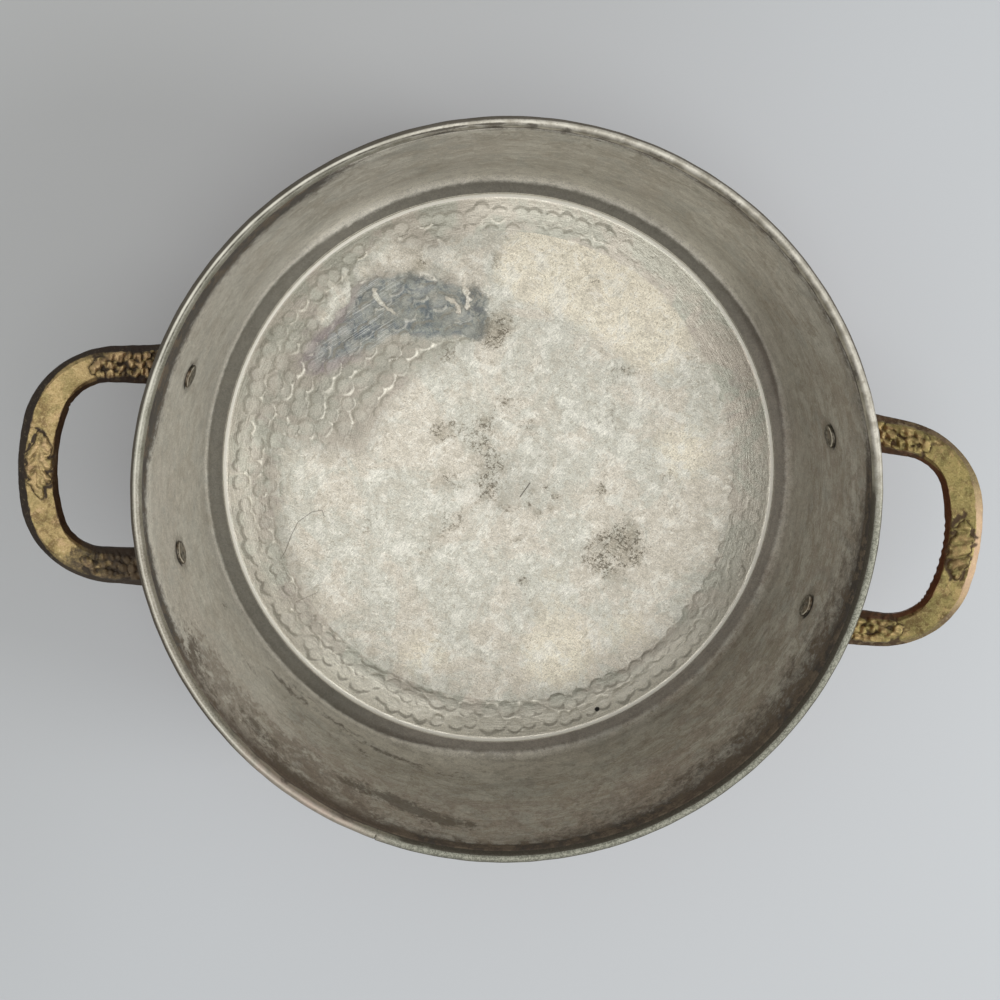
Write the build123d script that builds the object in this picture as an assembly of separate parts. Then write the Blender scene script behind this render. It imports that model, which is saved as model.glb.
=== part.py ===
import os
from math import acos, asin, cos, degrees, radians, sin, sqrt, tan

from build123d import *

# A round tinned copper cooking pot: one raised sheet with a wired rim, a tin
# lining, and two cast brass loop handles, each held by two copper rivets.
# The pot stands on z = 0 with its axis on Z. The handles point along +X and -X.
# All sizes are in millimetres.

# Pot
rim_diameter = 280.0        # over the rolled rim
pot_height = 100.0          # underside to the top of the rim
floor_sheet = 1.6           # copper thickness of the floor
wall_sheet = 1.2            # copper thickness of the wall
rim_sheet = 0.95            # copper thickness where it is rolled round the wire
tin_sheet = 0.3             # tin wiped over the inside
cove_radius = 7.5           # inside corner between floor and wall
thinning_length = 8.0       # height over which the wall thins towards the rim

# Rolled rim
wire_diameter = 1.4
wire_clearance = 0.15       # between the wire and the copper rolled round it
curl_gap = 0.12             # slit between the end of the roll and the wall
tin_stop = 0.5              # bare crease between the tin and the roll
wire_gap = 0.8              # between the two ends of the wire ring
wire_gap_azimuth = -107.0   # degrees from +X

# Rivets
rivet_shank = 6.0           # diameter
rivet_clearance = 0.1       # round the shank
rivet_room = 2.3            # between the outer head and the handle's leg above it
rivet_offset = 36.5         # centre to the handle's middle plane
inner_head_diameter = 9.7
inner_head_height = 1.0
inner_head_bevel = 0.4
outer_head_diameter = 9.4
outer_head_height = 2.4

# Handles: a D-shaped loop in a plane that rises outwards from the wall
loop_rise = 25.0            # degrees
loop_height = 71.1          # where the plane meets the outside of the wall
loop_reach = 49.75          # wall to the outermost point, along the plane
loop_half_width = 47.7      # outer half width at the wall
loop_taper = 6.7            # degrees that each leg's outer side leans inwards
loop_crown = 100.0          # radius of the loop's outer front
loop_corner = 36.0          # radius of the loop's outer corners
hole_reach = 36.5           # wall to the hole's outermost point
hole_half_width = 32.6
hole_taper = 2.1            # degrees
hole_crown = 69.0
hole_corner = 15.9
loop_thickness = 6.5
top_bevel_width = 2.65      # bevel along both top edges, across the face
top_bevel_depth = 2.4       # the same bevel, down the side
bottom_rounding = 1.8
leg_overrun = 20.0          # length of leg drawn past the wall, then trimmed to it

# Leaves cast on top of the loop: one on its front, and one out along each leg
leaf_relief = 0.8           # above the loop's flat top
blade_length = 19.0
blade_half_width = 4.1
lobe_radius = 2.1
lobe_offset = 2.9           # from the leaf's middle line
first_lobe = 10.0           # from the tip to the first pair of lobes
lobe_spacing = 5.2          # from there to the second pair
stem_length = 14.0
stem_half_width = 1.8
front_leaf_length = 28.0
leg_leaf_length = 24.0
leg_leaf_reach = 25.0       # wall to the tip of a leg's leaf, along the plane

# Feet: egg-shaped pads curved to the wall, wide at the leg and narrow at the rivet
foot_leg_margin = 5.0       # beside the leg
foot_rivet_margin = 4.3     # round the rivet's outer head
foot_thickness = 4.0
foot_rounding = 1.5
foot_gap = 0.05             # between foot and wall
root_swell = 1.6            # rounded swelling round the leg where it leaves its foot
root_swell_length = 4.0     # the same swelling, along the leg

# Worked out from the sizes above
bead_radius = wire_diameter / 2 + wire_clearance + rim_sheet
bead_circle = rim_diameter / 2 - bead_radius
bead_height = pot_height - bead_radius
wall_inside = bead_circle - bead_radius
wall_outside = wall_inside + wall_sheet
tin_inside = wall_inside - tin_sheet
foot_outside = wall_outside + foot_thickness
leg_half_width = (loop_half_width - hole_half_width) / 2
leg_offset = (loop_half_width + hole_half_width) / 2
leg_lean = (loop_taper + hole_taper) / 2
leg_azimuth = degrees(asin(leg_offset / wall_outside))
leg_set_back = wall_outside - sqrt(wall_outside ** 2 - leg_offset ** 2)
leg_height = loop_height - leg_set_back * tan(radians(loop_rise))
leg_half_height = loop_thickness / 2 / cos(radians(loop_rise))
rivet_height = leg_height - leg_half_height - rivet_room - outer_head_diameter / 2
rivet_azimuth = degrees(asin(rivet_offset / wall_outside))


def vertical_section(line_builder):
    """Face of the closed outline that a function draws, x being the radius and y the height."""
    with BuildSketch(Plane.XZ) as section:
        with BuildLine():
            line_builder()
        make_face()
    return section.sketch


def draw_pot_outline():
    """Half section of the copper: floor, cove, wall, and the rim rolled round the wire."""
    bottom_corner = cove_radius + floor_sheet
    roll_inner = bead_radius - rim_sheet
    neck_outside = wall_inside + rim_sheet
    thinning_height = bead_height - thinning_length
    slit_radius = neck_outside + (wall_sheet - rim_sheet) * bead_radius / thinning_length + curl_gap
    roll_end = degrees(acos((slit_radius - bead_circle) / bead_radius))
    roll_centre = (bead_circle, bead_height)

    Line((0, 0), (wall_outside - bottom_corner, 0))
    RadiusArc((wall_outside - bottom_corner, 0), (wall_outside, bottom_corner), -bottom_corner)
    Line((wall_outside, bottom_corner), (wall_outside, thinning_height))
    Line((wall_outside, thinning_height), (neck_outside, bead_height))
    inner = CenterArc(roll_centre, roll_inner, 180, -180 - roll_end)
    outer = CenterArc(roll_centre, bead_radius, 180, -180 - roll_end)
    Line(inner @ 1, outer @ 1)
    Line((wall_inside, bead_height), (wall_inside, floor_sheet + cove_radius))
    RadiusArc((wall_inside, floor_sheet + cove_radius), (wall_inside - cove_radius, floor_sheet),
              cove_radius)
    Line((wall_inside - cove_radius, floor_sheet), (0, floor_sheet))
    Line((0, floor_sheet), (0, 0))


def draw_tin_outline():
    """Half section of the tin, which ends just under the rolled rim."""
    outside_corner = (wall_inside - cove_radius, floor_sheet)
    tin_corner = cove_radius - tin_sheet
    tin_floor = floor_sheet + tin_sheet
    tin_top = bead_height - bead_radius - tin_stop

    Line((0, floor_sheet), outside_corner)
    RadiusArc(outside_corner, (wall_inside, floor_sheet + cove_radius), -cove_radius)
    Line((wall_inside, floor_sheet + cove_radius), (wall_inside, tin_top))
    Line((wall_inside, tin_top), (tin_inside, tin_top - tin_sheet))
    Line((tin_inside, tin_top - tin_sheet), (tin_inside, tin_floor + tin_corner))
    RadiusArc((tin_inside, tin_floor + tin_corner), (tin_inside - tin_corner, tin_floor), tin_corner)
    Line((tin_inside - tin_corner, tin_floor), (0, tin_floor))
    Line((0, tin_floor), (0, floor_sheet))


def upright(radius):
    """A solid cylinder about the pot's axis, taller than the pot."""
    return extrude(Plane.XY * Circle(radius), pot_height + loop_reach)


def radial_plane(azimuth, height):
    """Plane on the pot's axis that faces outwards at an azimuth, with its y upwards."""
    outwards = Vector(cos(radians(azimuth)), sin(radians(azimuth)), 0)
    sideways = Vector(-sin(radians(azimuth)), cos(radians(azimuth)), 0)
    return Plane(origin=(0, 0, height), x_dir=sideways, z_dir=outwards)


def radial_rod(azimuth, height, diameter, inner_end, outer_end):
    """A round rod between two distances from the axis."""
    rod = extrude(Circle(diameter / 2), outer_end - inner_end)
    return radial_plane(azimuth, height) * Pos(0, 0, inner_end) * rod


def rivet_holes():
    """Bores for the four rivets through everything that they hold."""
    bore = rivet_shank + 2 * rivet_clearance
    bores = [radial_rod(side + end * rivet_azimuth, rivet_height, bore,
                        tin_inside - bore, foot_outside + bore)
             for side in (0, 180) for end in (-1, 1)]
    return bores


def make_pot_body():
    """Copper sheet turned about the axis, with the rivet holes through its wall."""
    body = revolve(vertical_section(draw_pot_outline), Axis.Z, 360)
    return Rot(0, 0, wire_gap_azimuth) * body - rivet_holes()


def make_tin_lining():
    """Tin on the inside of the copper."""
    lining = revolve(vertical_section(draw_tin_outline), Axis.Z, 360)
    return lining - rivet_holes()


def make_rim_wire():
    """Wire ring inside the rolled rim, open by a small gap where its ends meet."""
    gap_angle = degrees(wire_gap / bead_circle)
    section = Plane.XZ * Pos(bead_circle, bead_height) * Circle(wire_diameter / 2)
    ring = revolve(section, Axis.Z, 360 - gap_angle)
    return Rot(0, 0, wire_gap_azimuth + gap_angle / 2) * ring


def d_outline(reach, half_width, taper, crown, corner, overrun):
    """Face of a D: two legs that lean inwards, a crowned front, and rounded corners."""
    lean = tan(radians(taper))
    centre = reach - crown
    # The leg s = half_width - lean * u meets the crown (u - centre)^2 + s^2 = crown^2.
    a = 1 + lean ** 2
    b = centre + lean * half_width
    c = centre ** 2 + half_width ** 2 - crown ** 2
    corner_u = (b + sqrt(b ** 2 - a * c)) / a
    corner_s = half_width - lean * corner_u
    start_s = half_width + lean * overrun
    with BuildSketch() as outline:
        with BuildLine():
            Line((-overrun, -start_s), (corner_u, -corner_s))
            ThreePointArc((corner_u, -corner_s), (reach, 0), (corner_u, corner_s))
            Line((corner_u, corner_s), (-overrun, start_s))
            Line((-overrun, start_s), (-overrun, -start_s))
        make_face()
        fillet(outline.vertices().sort_by(Axis.X)[-2:], corner)
    return outline.sketch


def pointed_oval(length, half_width):
    """Face between two equal arcs that meet in points, along Y from the origin downwards."""
    radius = (length ** 2 / 4 + half_width ** 2) / (2 * half_width)
    with BuildSketch() as outline:
        with BuildLine():
            RadiusArc((0, -length), (0, 0), radius)
            RadiusArc((0, 0), (0, -length), radius)
        make_face()
    return outline.sketch


def make_leaf(length):
    """Raised leaf with its tip at the origin: a pointed blade, two pairs of lobes and a stem."""
    leaf = pointed_oval(blade_length, blade_half_width)
    leaf += Pos(0, stem_length - length) * pointed_oval(stem_length, stem_half_width)
    for lobe_y in (-first_lobe, -first_lobe - lobe_spacing):
        for lobe_x in (-lobe_offset, lobe_offset):
            leaf += Pos(lobe_x, lobe_y) * Circle(lobe_radius)
    bevel_foot = loop_thickness / 2 - top_bevel_depth
    return Pos(0, 0, bevel_foot) * extrude(leaf, top_bevel_depth + leaf_relief)


def make_leaves():
    """The leaf on the loop's front and the one on each leg, in the loop's own plane."""
    front_middle = (loop_reach + hole_reach) / 2
    front_radius = (loop_crown + hole_crown) / 2
    front_sag = (front_leaf_length / 2) ** 2 / (2 * front_radius)
    front_place = Pos(front_middle - front_sag / 2, -front_leaf_length / 2) * Rot(0, 0, 180)
    leaves = [front_place * make_leaf(front_leaf_length)]
    leg_tip_offset = leg_offset - leg_leaf_reach * tan(radians(leg_lean))
    for end in (-1, 1):
        place = Pos(leg_leaf_reach, end * leg_tip_offset) * Rot(0, 0, -90 - end * leg_lean)
        leaves.append(place * make_leaf(leg_leaf_length))
    return leaves


def make_loop():
    """Bevelled D-shaped loop, its legs run on into the wall to be trimmed there."""
    outer = d_outline(loop_reach, loop_half_width, loop_taper, loop_crown, loop_corner, leg_overrun)
    hole = d_outline(hole_reach, hole_half_width, hole_taper, hole_crown, hole_corner,
                     2 * leg_overrun)
    band = extrude(outer - hole, loop_thickness / 2, both=True)
    top = band.faces().sort_by(Axis.Z)[-1]
    ends = top.edges().filter_by(Axis.Y)
    band = chamfer(top.edges() - ends, top_bevel_width, top_bevel_depth, reference=top)
    bottom = band.faces().sort_by(Axis.Z)[0]
    ends = bottom.edges().filter_by(Axis.Y)
    band = fillet(bottom.edges() - ends, bottom_rounding) + make_leaves()
    rise = radians(loop_rise)
    plane = Plane(origin=(wall_outside, 0, loop_height), x_dir=(cos(rise), 0, sin(rise)),
                  z_dir=(-sin(rise), 0, cos(rise)))
    return plane * band


def egg_outline(small, large, spacing):
    """Face round two circles, a small one at the origin and a large one at a spacing from it."""
    distance = spacing.length
    along = spacing.normalized()
    across = Vector(-along.Y, along.X, 0)
    lean = acos((large - small) / distance)
    with BuildSketch() as outline:
        with BuildLine():
            ends = {}
            for side in (-1, 1):
                normal = side * sin(lean) * across - cos(lean) * along
                ends[side] = (small * normal, spacing + large * normal)
                Line(*ends[side])
            ThreePointArc(ends[-1][0], -small * along, ends[1][0])
            ThreePointArc(ends[-1][1], spacing + large * along, ends[1][1])
        make_face()
    return outline.sketch


def make_foot(end):
    """Pad curved to the wall, round the root of one leg and its rivet. end is -1 or 1."""
    small = outer_head_diameter / 2 + foot_rivet_margin
    large = leg_half_width + foot_leg_margin
    leg_shift = end * wall_outside * sin(radians(leg_azimuth - rivet_azimuth))
    outline = egg_outline(small, large, Vector(leg_shift, leg_height - rivet_height, 0))
    pad = radial_plane(end * rivet_azimuth, rivet_height) * extrude(outline, foot_outside + large)
    pad = (pad & upright(foot_outside)) - upright(wall_outside + foot_gap)
    front = pad.faces().sort_by(Axis.X)[-1]
    pad = fillet(front.edges(), foot_rounding)
    swell_size = (leg_half_width + root_swell, leg_half_height + root_swell, root_swell_length)
    swelling = Pos(0, 0, foot_outside) * scale(Sphere(1), by=swell_size)
    swelling = radial_plane(end * leg_azimuth, leg_height) * swelling
    return pad + (swelling - upright(foot_outside - foot_rounding))


def make_handle():
    """The handle on the +X side: one casting of the loop and its two feet."""
    loop = make_loop() - upright(wall_outside + foot_gap)
    return loop + make_foot(-1) + make_foot(1) - rivet_holes()


def make_rivet(azimuth):
    """Rivet with a flat head inside the pot and a hammered dome on the handle's foot."""
    shank = radial_rod(azimuth, rivet_height, rivet_shank, tin_inside - inner_head_height / 2,
                       foot_outside + outer_head_height / 2)
    rod = extrude(Circle(inner_head_diameter / 2), inner_head_height + rivet_shank)
    rod = chamfer(rod.faces().sort_by(Axis.Z)[0].edges(), inner_head_bevel)
    inner_head = radial_plane(azimuth, rivet_height) * Pos(0, 0, tin_inside - inner_head_height) * rod
    dome_radius = (outer_head_diameter ** 2 / 4 + outer_head_height ** 2) / (2 * outer_head_height)
    dome_centre = foot_outside + outer_head_height - dome_radius
    dome = radial_plane(azimuth, rivet_height) * Pos(0, 0, dome_centre) * Sphere(dome_radius)
    return shank + (inner_head & upright(tin_inside)) + (dome - upright(foot_outside))


os.makedirs("parts", exist_ok=True)
handle = make_handle()
parts = {
    "pot_body": make_pot_body(),
    "tin_lining": make_tin_lining(),
    "rim_wire": make_rim_wire(),
    "handle_right": handle,
    "handle_left": Rot(0, 0, 180) * handle,
    "rivet_right_front": make_rivet(-rivet_azimuth),
    "rivet_right_back": make_rivet(rivet_azimuth),
    "rivet_left_front": make_rivet(180 + rivet_azimuth),
    "rivet_left_back": make_rivet(180 - rivet_azimuth),
}
for name, part in parts.items():
    export_step(part, f"parts/{name}.step")
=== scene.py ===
import math

import bpy
import numpy as np
from mathutils import Matrix, Vector


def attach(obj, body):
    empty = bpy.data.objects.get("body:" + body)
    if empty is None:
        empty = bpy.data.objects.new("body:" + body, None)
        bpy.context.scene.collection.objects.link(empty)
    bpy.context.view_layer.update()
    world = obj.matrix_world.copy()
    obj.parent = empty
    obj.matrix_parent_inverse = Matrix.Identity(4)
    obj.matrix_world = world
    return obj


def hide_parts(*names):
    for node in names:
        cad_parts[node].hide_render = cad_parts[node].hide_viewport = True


# A shallow round cooking pot: hammered copper sheet tinned inside, a rim rolled round a wire,
# and two cast brass handles with leaf ornament, each held by two rivets.
# Shapes are worked out in millimetres in the pot's own frame and written to the meshes in metres.

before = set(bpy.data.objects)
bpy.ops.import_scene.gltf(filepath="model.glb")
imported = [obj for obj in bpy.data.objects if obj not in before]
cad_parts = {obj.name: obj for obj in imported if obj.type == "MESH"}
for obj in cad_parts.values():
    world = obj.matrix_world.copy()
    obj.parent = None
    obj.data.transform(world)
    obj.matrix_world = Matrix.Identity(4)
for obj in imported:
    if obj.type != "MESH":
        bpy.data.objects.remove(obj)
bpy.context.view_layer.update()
mm = 0.001
coarse = 1

cameraView = {
    "place": (-24.24, 53.22, 465.7),  # millimetres in the pot's frame
    "lookAt": (0.43, -10.63, 0.0),
    "roll": 164.173,
    "lens": 36.0,
    "sensor": 36.0,
}


def setCamera(view):
    place = Vector(view["place"]) * mm
    look = Vector(view["lookAt"]) * mm
    turn = (look - place).to_track_quat("-Z", "Y").to_matrix().to_4x4()
    data = bpy.data.cameras.new("camera")
    data.lens = view["lens"]
    data.sensor_width = view["sensor"]
    data.clip_start = 0.01
    camera = bpy.data.objects.new("camera", data)
    roll = Matrix.Rotation(math.radians(view["roll"]), 4, "Z")
    camera.matrix_world = Matrix.Translation(place) @ turn @ roll
    bpy.context.scene.collection.objects.link(camera)
    bpy.context.scene.camera = camera


setCamera(cameraView)
bpy.context.scene.view_settings.view_transform = "Standard"
print("camera set")


def gridFaces(rows, columns, closeRows=False, closeColumns=True):
    # Quads between neighbouring points of a grid that is numbered row by row.
    a = np.arange(rows if closeRows else rows - 1)
    b = np.arange(columns if closeColumns else columns - 1)
    a, b = np.meshgrid(a, b, indexing="ij")
    nextRow = (a + 1) % rows
    nextColumn = (b + 1) % columns
    quads = [a * columns + b, a * columns + nextColumn, nextRow * columns + nextColumn, nextRow * columns + b]
    return np.stack(quads, axis=-1).reshape(-1, 4)


def capFaces(ring, pole, before):
    # Triangles from one ring of points to a pole that comes before or after it.
    following = np.roll(ring, -1)
    poles = np.full_like(ring, pole)
    if before:
        return np.stack([poles, following, ring], axis=-1)
    return np.stack([ring, following, poles], axis=-1)


def outward(points, faces):
    # Turns a closed shell's faces outwards: the sum of a . (b x c) over its triangles is above zero.
    volume = 0.0
    for part in faces:
        for k in range(1, part.shape[1] - 1):
            crossed = np.cross(points[part[:, k]], points[part[:, k + 1]])
            volume += (points[part[:, 0]] * crossed).sum()
    return faces if volume > 0 else [part[:, ::-1] for part in faces]


def ringShell(grid):
    # A closed tube: both directions of the grid come round to where they began.
    points = grid.reshape(-1, 3)
    return points, outward(points, [gridFaces(grid.shape[0], grid.shape[1], closeRows=True)])


def cappedShell(grid):
    # A grid closed along its columns, with a pole at the middle of its first and of its last row.
    rows, columns = grid.shape[:2]
    count = rows * columns
    points = np.concatenate([grid.reshape(-1, 3), grid[0].mean(0)[None], grid[-1].mean(0)[None]])
    first = np.arange(columns)
    faces = [gridFaces(rows, columns), capFaces(first, count, True),
             capFaces(first + (rows - 1) * columns, count + 1, False)]
    return points, outward(points, faces)


def joined(shells):
    # Several shells as one list of points and one of faces.
    points, faces, start = [], [], 0
    for shellPoints, shellFaces in shells:
        points.append(shellPoints)
        faces += [part + start for part in shellFaces]
        start += len(shellPoints)
    return np.concatenate(points), faces


def makePiece(name, points, faces, marks, nodes, finish):
    # Writes a mesh with one number per point for each mark, and hands it to the frame.
    mesh = bpy.data.meshes.new(name)
    mesh.vertices.add(len(points))
    mesh.vertices.foreach_set("co", (points * mm).astype(np.float32).ravel())
    sizes = np.concatenate([np.full(len(part), part.shape[1]) for part in faces])
    corners = np.concatenate([part.ravel() for part in faces])
    mesh.loops.add(len(corners))
    mesh.loops.foreach_set("vertex_index", corners.astype(np.int32))
    mesh.polygons.add(len(sizes))
    mesh.polygons.foreach_set("loop_start", (np.cumsum(sizes) - sizes).astype(np.int32))
    mesh.update(calc_edges=True)
    mesh.validate()
    mesh.shade_smooth()
    mesh.set_sharp_from_angle(angle=math.radians(45))
    for key, values in marks.items():
        data = mesh.attributes.new(key, "FLOAT", "POINT").data
        data.foreach_set("value", np.asarray(values, dtype=np.float32).ravel())
    mesh.materials.append(finish)
    piece = bpy.data.objects.new(name, mesh)
    bpy.context.scene.collection.objects.link(piece)
    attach(piece, "root")
    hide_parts(*nodes)
    print(name, "points", len(points), "faces", len(sizes))
    return piece


def ease(value, low, high):
    # 0 below low, 1 above high, and a smooth 3t^2 - 2t^3 between them.
    t = np.clip((value - low) / (high - low), 0, 1)
    return t * t * (3 - 2 * t)


def window(azimuth, middle, half, soft):
    # 1 within half degrees of a middle azimuth, falling to 0 over soft degrees more.
    away = np.abs((azimuth - middle + 180) % 360 - 180)
    return 1 - ease(away, half, half + soft)


def waves(x, y, seed, length, count=9):
    # Smooth uneven ground from about -1 to 1: the sum of plane waves of nearly one length.
    source = np.random.default_rng(seed)
    total = np.zeros(np.broadcast(x, y).shape)
    for _ in range(count):
        heading = source.uniform(0, 2 * math.pi)
        number = 2 * math.pi / (length * source.uniform(0.75, 1.4))
        phase = source.uniform(0, 2 * math.pi)
        total += np.sin(number * (math.cos(heading) * x + math.sin(heading) * y) + phase)
    return total / math.sqrt(count)


def turned(radius, azimuth, height):
    # Points from radius, azimuth in degrees and height, each an array of one shape.
    a = np.radians(azimuth)
    return np.stack([radius * np.cos(a), radius * np.sin(a), height], axis=-1)


def arc(centre, radius, start, end, count):
    # Points of a circle's arc in the (radius, height) plane, angles in degrees.
    a = np.radians(np.linspace(start, end, count))
    return np.stack([centre[0] + radius * np.cos(a), centre[1] + radius * np.sin(a)], axis=-1)


def run(start, end, count):
    # Evenly spaced points of a straight line, its end left out.
    t = np.arange(count)[:, None] / count
    return np.array(start)[None] * (1 - t) + np.array(end)[None] * t


class Link:
    # A shader node's output with arithmetic on it; each operation adds one Math node.
    def __init__(self, paint, output):
        self.paint = paint
        self.output = output

    def math(self, operation, first, second=None):
        inputs = {0: first} if second is None else {0: first, 1: second}
        return self.paint.node("ShaderNodeMath", {"operation": operation}, inputs)

    def __add__(self, other):
        return self.math("ADD", self, other)

    def __radd__(self, other):
        return self.math("ADD", other, self)

    def __sub__(self, other):
        return self.math("SUBTRACT", self, other)

    def __rsub__(self, other):
        return self.math("SUBTRACT", other, self)

    def __mul__(self, other):
        return self.math("MULTIPLY", self, other)

    def __rmul__(self, other):
        return self.math("MULTIPLY", other, self)

    def __truediv__(self, other):
        return self.math("DIVIDE", self, other)

    def __rtruediv__(self, other):
        return self.math("DIVIDE", other, self)

    def __pow__(self, other):
        return self.math("POWER", self, other)

    def clamp(self):
        return self.math("MAXIMUM", self.math("MINIMUM", self, 1.0), 0.0)

    def size(self):
        return self.math("ABSOLUTE", self)

    def largest(self, other):
        return self.math("MAXIMUM", self, other)


def colour(red, green, blue):
    # A colour as a photograph shows it, 0 to 255, made linear.
    levels = [v / 255 for v in (red, green, blue)]
    return tuple(v / 12.92 if v < 0.04045 else ((v + 0.055) / 1.055) ** 2.4 for v in levels) + (1.0,)


class Paint:
    # One material's nodes. node() adds any node, and the others are short names for common ones.
    def __init__(self, name):
        self.material = bpy.data.materials.new(name)
        self.material.use_nodes = True
        self.tree = self.material.node_tree
        self.tree.nodes.clear()
        place = self.node("ShaderNodeTexCoord", output=3)
        self.place = self.stretch(place, (1000, 1000, 1000))  # millimetres
        parts = [self.node("ShaderNodeSeparateXYZ", inputs={0: self.place}, output=k) for k in range(3)]
        self.x, self.y, self.z = parts

    def node(self, kind, settings=None, inputs=None, output=0):
        made = self.tree.nodes.new(kind)
        for key, value in (settings or {}).items():
            setattr(made, key, value)
        for key, value in (inputs or {}).items():
            if isinstance(value, Link):
                self.tree.links.new(value.output, made.inputs[key])
            else:
                made.inputs[key].default_value = value
        return Link(self, made.outputs[output]) if made.outputs else None

    def stretch(self, vector, factors):
        return self.node("ShaderNodeVectorMath", {"operation": "MULTIPLY"}, {0: vector, 1: factors})

    def noise(self, size, detail=2.0, rough=0.5, twist=0.0, factors=None):
        # Uneven grey whose blotches are about size millimetres, stretched where factors are given.
        vector = self.stretch(self.place, factors) if factors else self.place
        inputs = {"Vector": vector, "Scale": 1 / size, "Detail": detail, "Roughness": rough,
                  "Distortion": twist}
        return self.node("ShaderNodeTexNoise", inputs=inputs)

    def cells(self, size):
        return self.node("ShaderNodeTexVoronoi", inputs={"Vector": self.place, "Scale": 1 / size})

    def step(self, value, low, high):
        settings = {"interpolation_type": "SMOOTHSTEP"}
        return self.node("ShaderNodeMapRange", settings, {0: value, 1: low, 2: high})

    def mark(self, name):
        return self.node("ShaderNodeAttribute", {"attribute_name": name}, output=2)

    def blend(self, factor, first, second, kind="MIX"):
        settings = {"data_type": "RGBA", "blend_type": kind}
        return self.node("ShaderNodeMix", settings, {0: factor, 6: first, 7: second}, output=2)

    def tint(self, base, share, tone):
        # A tone of 0 to 255 laid over the base by its share.
        return self.blend(share, base, colour(*tone))

    def clouds(self, pattern, low, high, first, second):
        # Two tones, the second where the pattern has passed from low to high.
        return self.tint(colour(*first), self.step(pattern, low, high), second)

    def coats(self, base, rows):
        # Tones laid over the base one after another. Each row is a pattern, where its step begins
        # and ends, the tone's share there, and the tone.
        for pattern, low, high, share, tone in rows:
            base = self.tint(base, self.step(pattern, low, high) * share, tone)
        return base

    def spot(self, x, y, radius, soft, warp):
        # 1 within a blotch round (x, y) millimetres whose edge is warped by a noise.
        dx = self.x - x
        dy = self.y - y
        away = (dx * dx + dy * dy) ** 0.5 + warp
        return 1 - self.step(away, radius - soft, radius + soft)

    def strokes(self, vector):
        inputs = {"Vector": vector, "Scale": 1.0, "Detail": 2.0, "Roughness": 0.6}
        return self.node("ShaderNodeTexNoise", inputs=inputs)

    def brushed(self, turn, width, length):
        # Short strokes of a brush, width by length millimetres, at turn degrees from X.
        settings = {"vector_type": "TEXTURE"}
        inputs = {0: self.place, 2: (0, 0, math.radians(turn)), 3: (length, width, width)}
        return self.strokes(self.node("ShaderNodeMapping", settings, inputs))

    def around(self, width, length):
        # Strokes that run round the Z axis, width by length millimetres at 110 from it.
        away = (self.x * self.x + self.y * self.y) ** 0.5
        turn = 110 / length / away
        inputs = {0: away / width, 1: self.x * turn, 2: self.y * turn}
        return self.strokes(self.node("ShaderNodeCombineXYZ", inputs=inputs))

    def choose(self, factor, first, second):
        # Two numbers mixed by a factor.
        return first * (1 - factor) + second * factor

    def stroke(self, corners, width):
        # 1 on a line through corners: least distance to its runs, nearest point by projection.
        least = None
        for (ax, ay), (bx, by) in zip(corners, corners[1:]):
            dx, dy = bx - ax, by - ay
            share = (((self.x - ax) * dx + (self.y - ay) * dy) / (dx * dx + dy * dy)).clamp()
            fromX = self.x - ax - share * dx
            fromY = self.y - ay - share * dy
            away = (fromX * fromX + fromY * fromY) ** 0.5
            least = away if least is None else least.math("MINIMUM", least, away)
        return 1 - self.step(least, width * 0.6, width * 1.6)

    def bump(self, height, depth, below=None):
        # Height from 0 to 1 stands for depth millimetres.
        inputs = {"Height": height, "Distance": depth * mm, "Strength": 1.0}
        if below:
            inputs["Normal"] = below
        return self.node("ShaderNodeBump", inputs=inputs)

    def finish(self, base, roughness, metallic, normal=None):
        inputs = {"Base Color": base, "Roughness": roughness, "Metallic": metallic}
        if normal:
            inputs["Normal"] = normal
        shader = self.node("ShaderNodeBsdfPrincipled", inputs=inputs)
        self.node("ShaderNodeOutputMaterial", inputs={0: shader})
        return self.material


potSizes = {
    "beadCircle": 138.2,  # circle that the roll's middle runs on
    "beadRadius": 1.8,
    "beadHeight": 98.2,
    "rollInside": 0.85,
    "wallInside": 136.4,
    "wallOutside": 137.6,
    "neckOutside": 137.35,
    "thinningHeight": 90.2,
    "coveRadius": 7.5,
    "floorSheet": 1.6,
    "tinSheet": 0.3,
    "tinTop": 95.9,
    "joint": -107.0,  # azimuth where the rim's ends meet
    "rivetAzimuth": 15.38,  # of the nearest rivet to +X; the others mirror it
    "rivetHeight": 57.7,
}

tinInside = potSizes["wallInside"] - potSizes["tinSheet"]
tinFloor = potSizes["floorSheet"] + potSizes["tinSheet"]
tinCorner = potSizes["coveRadius"] - potSizes["tinSheet"]
floorEdge = tinInside - tinCorner


def fromRivet(paint):
    # Distance from the nearest rivet's axis and the rise above it; all four mirror each other.
    a = math.radians(potSizes["rivetAzimuth"])
    side = paint.y.size() * math.cos(a) - paint.x.size() * math.sin(a)
    rise = paint.z - potSizes["rivetHeight"]
    return (side * side + rise * rise) ** 0.5, rise


def sectors(azimuth, rows):
    # Sum over the rows of a strength times a window of middle, half and soft degrees.
    return sum(strength * window(azimuth, *place) for strength, *place in rows)


def bands(height, azimuth, rows):
    # Sum over the rows of a strength times an ease from one height to another and a window.
    return sum(strength * ease(height, low, high) * window(azimuth, *place)
               for strength, low, high, *place in rows)


rimLook = {
    "azimuths": 608,
    "rollEnd": -101.5,  # where the sheet ends round the wire, in degrees: 0 is outwards, -90 down
    "jointStep": 0.22,  # one end of the roll stands proud of the other
    "dents": 0.05,
    # Each row is a strength, then the middle, half and soft degrees of where it shows.
    "pink": [(0.52, -138, 30, 16), (0.3, 178, 30, 15), (0.2, 0, 30, 20)],
    "outerSoot": [(0.75, 150, 55, 25), (0.5, 60, 30, 15), (0.25, 0, 180, 1)],
    "innerSoot": [(0.9, -45, 42, 20)],
    "lumpySoot": [(0.55, 60, 40, 20), (0.5, -125, 30, 15)],
}


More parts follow.
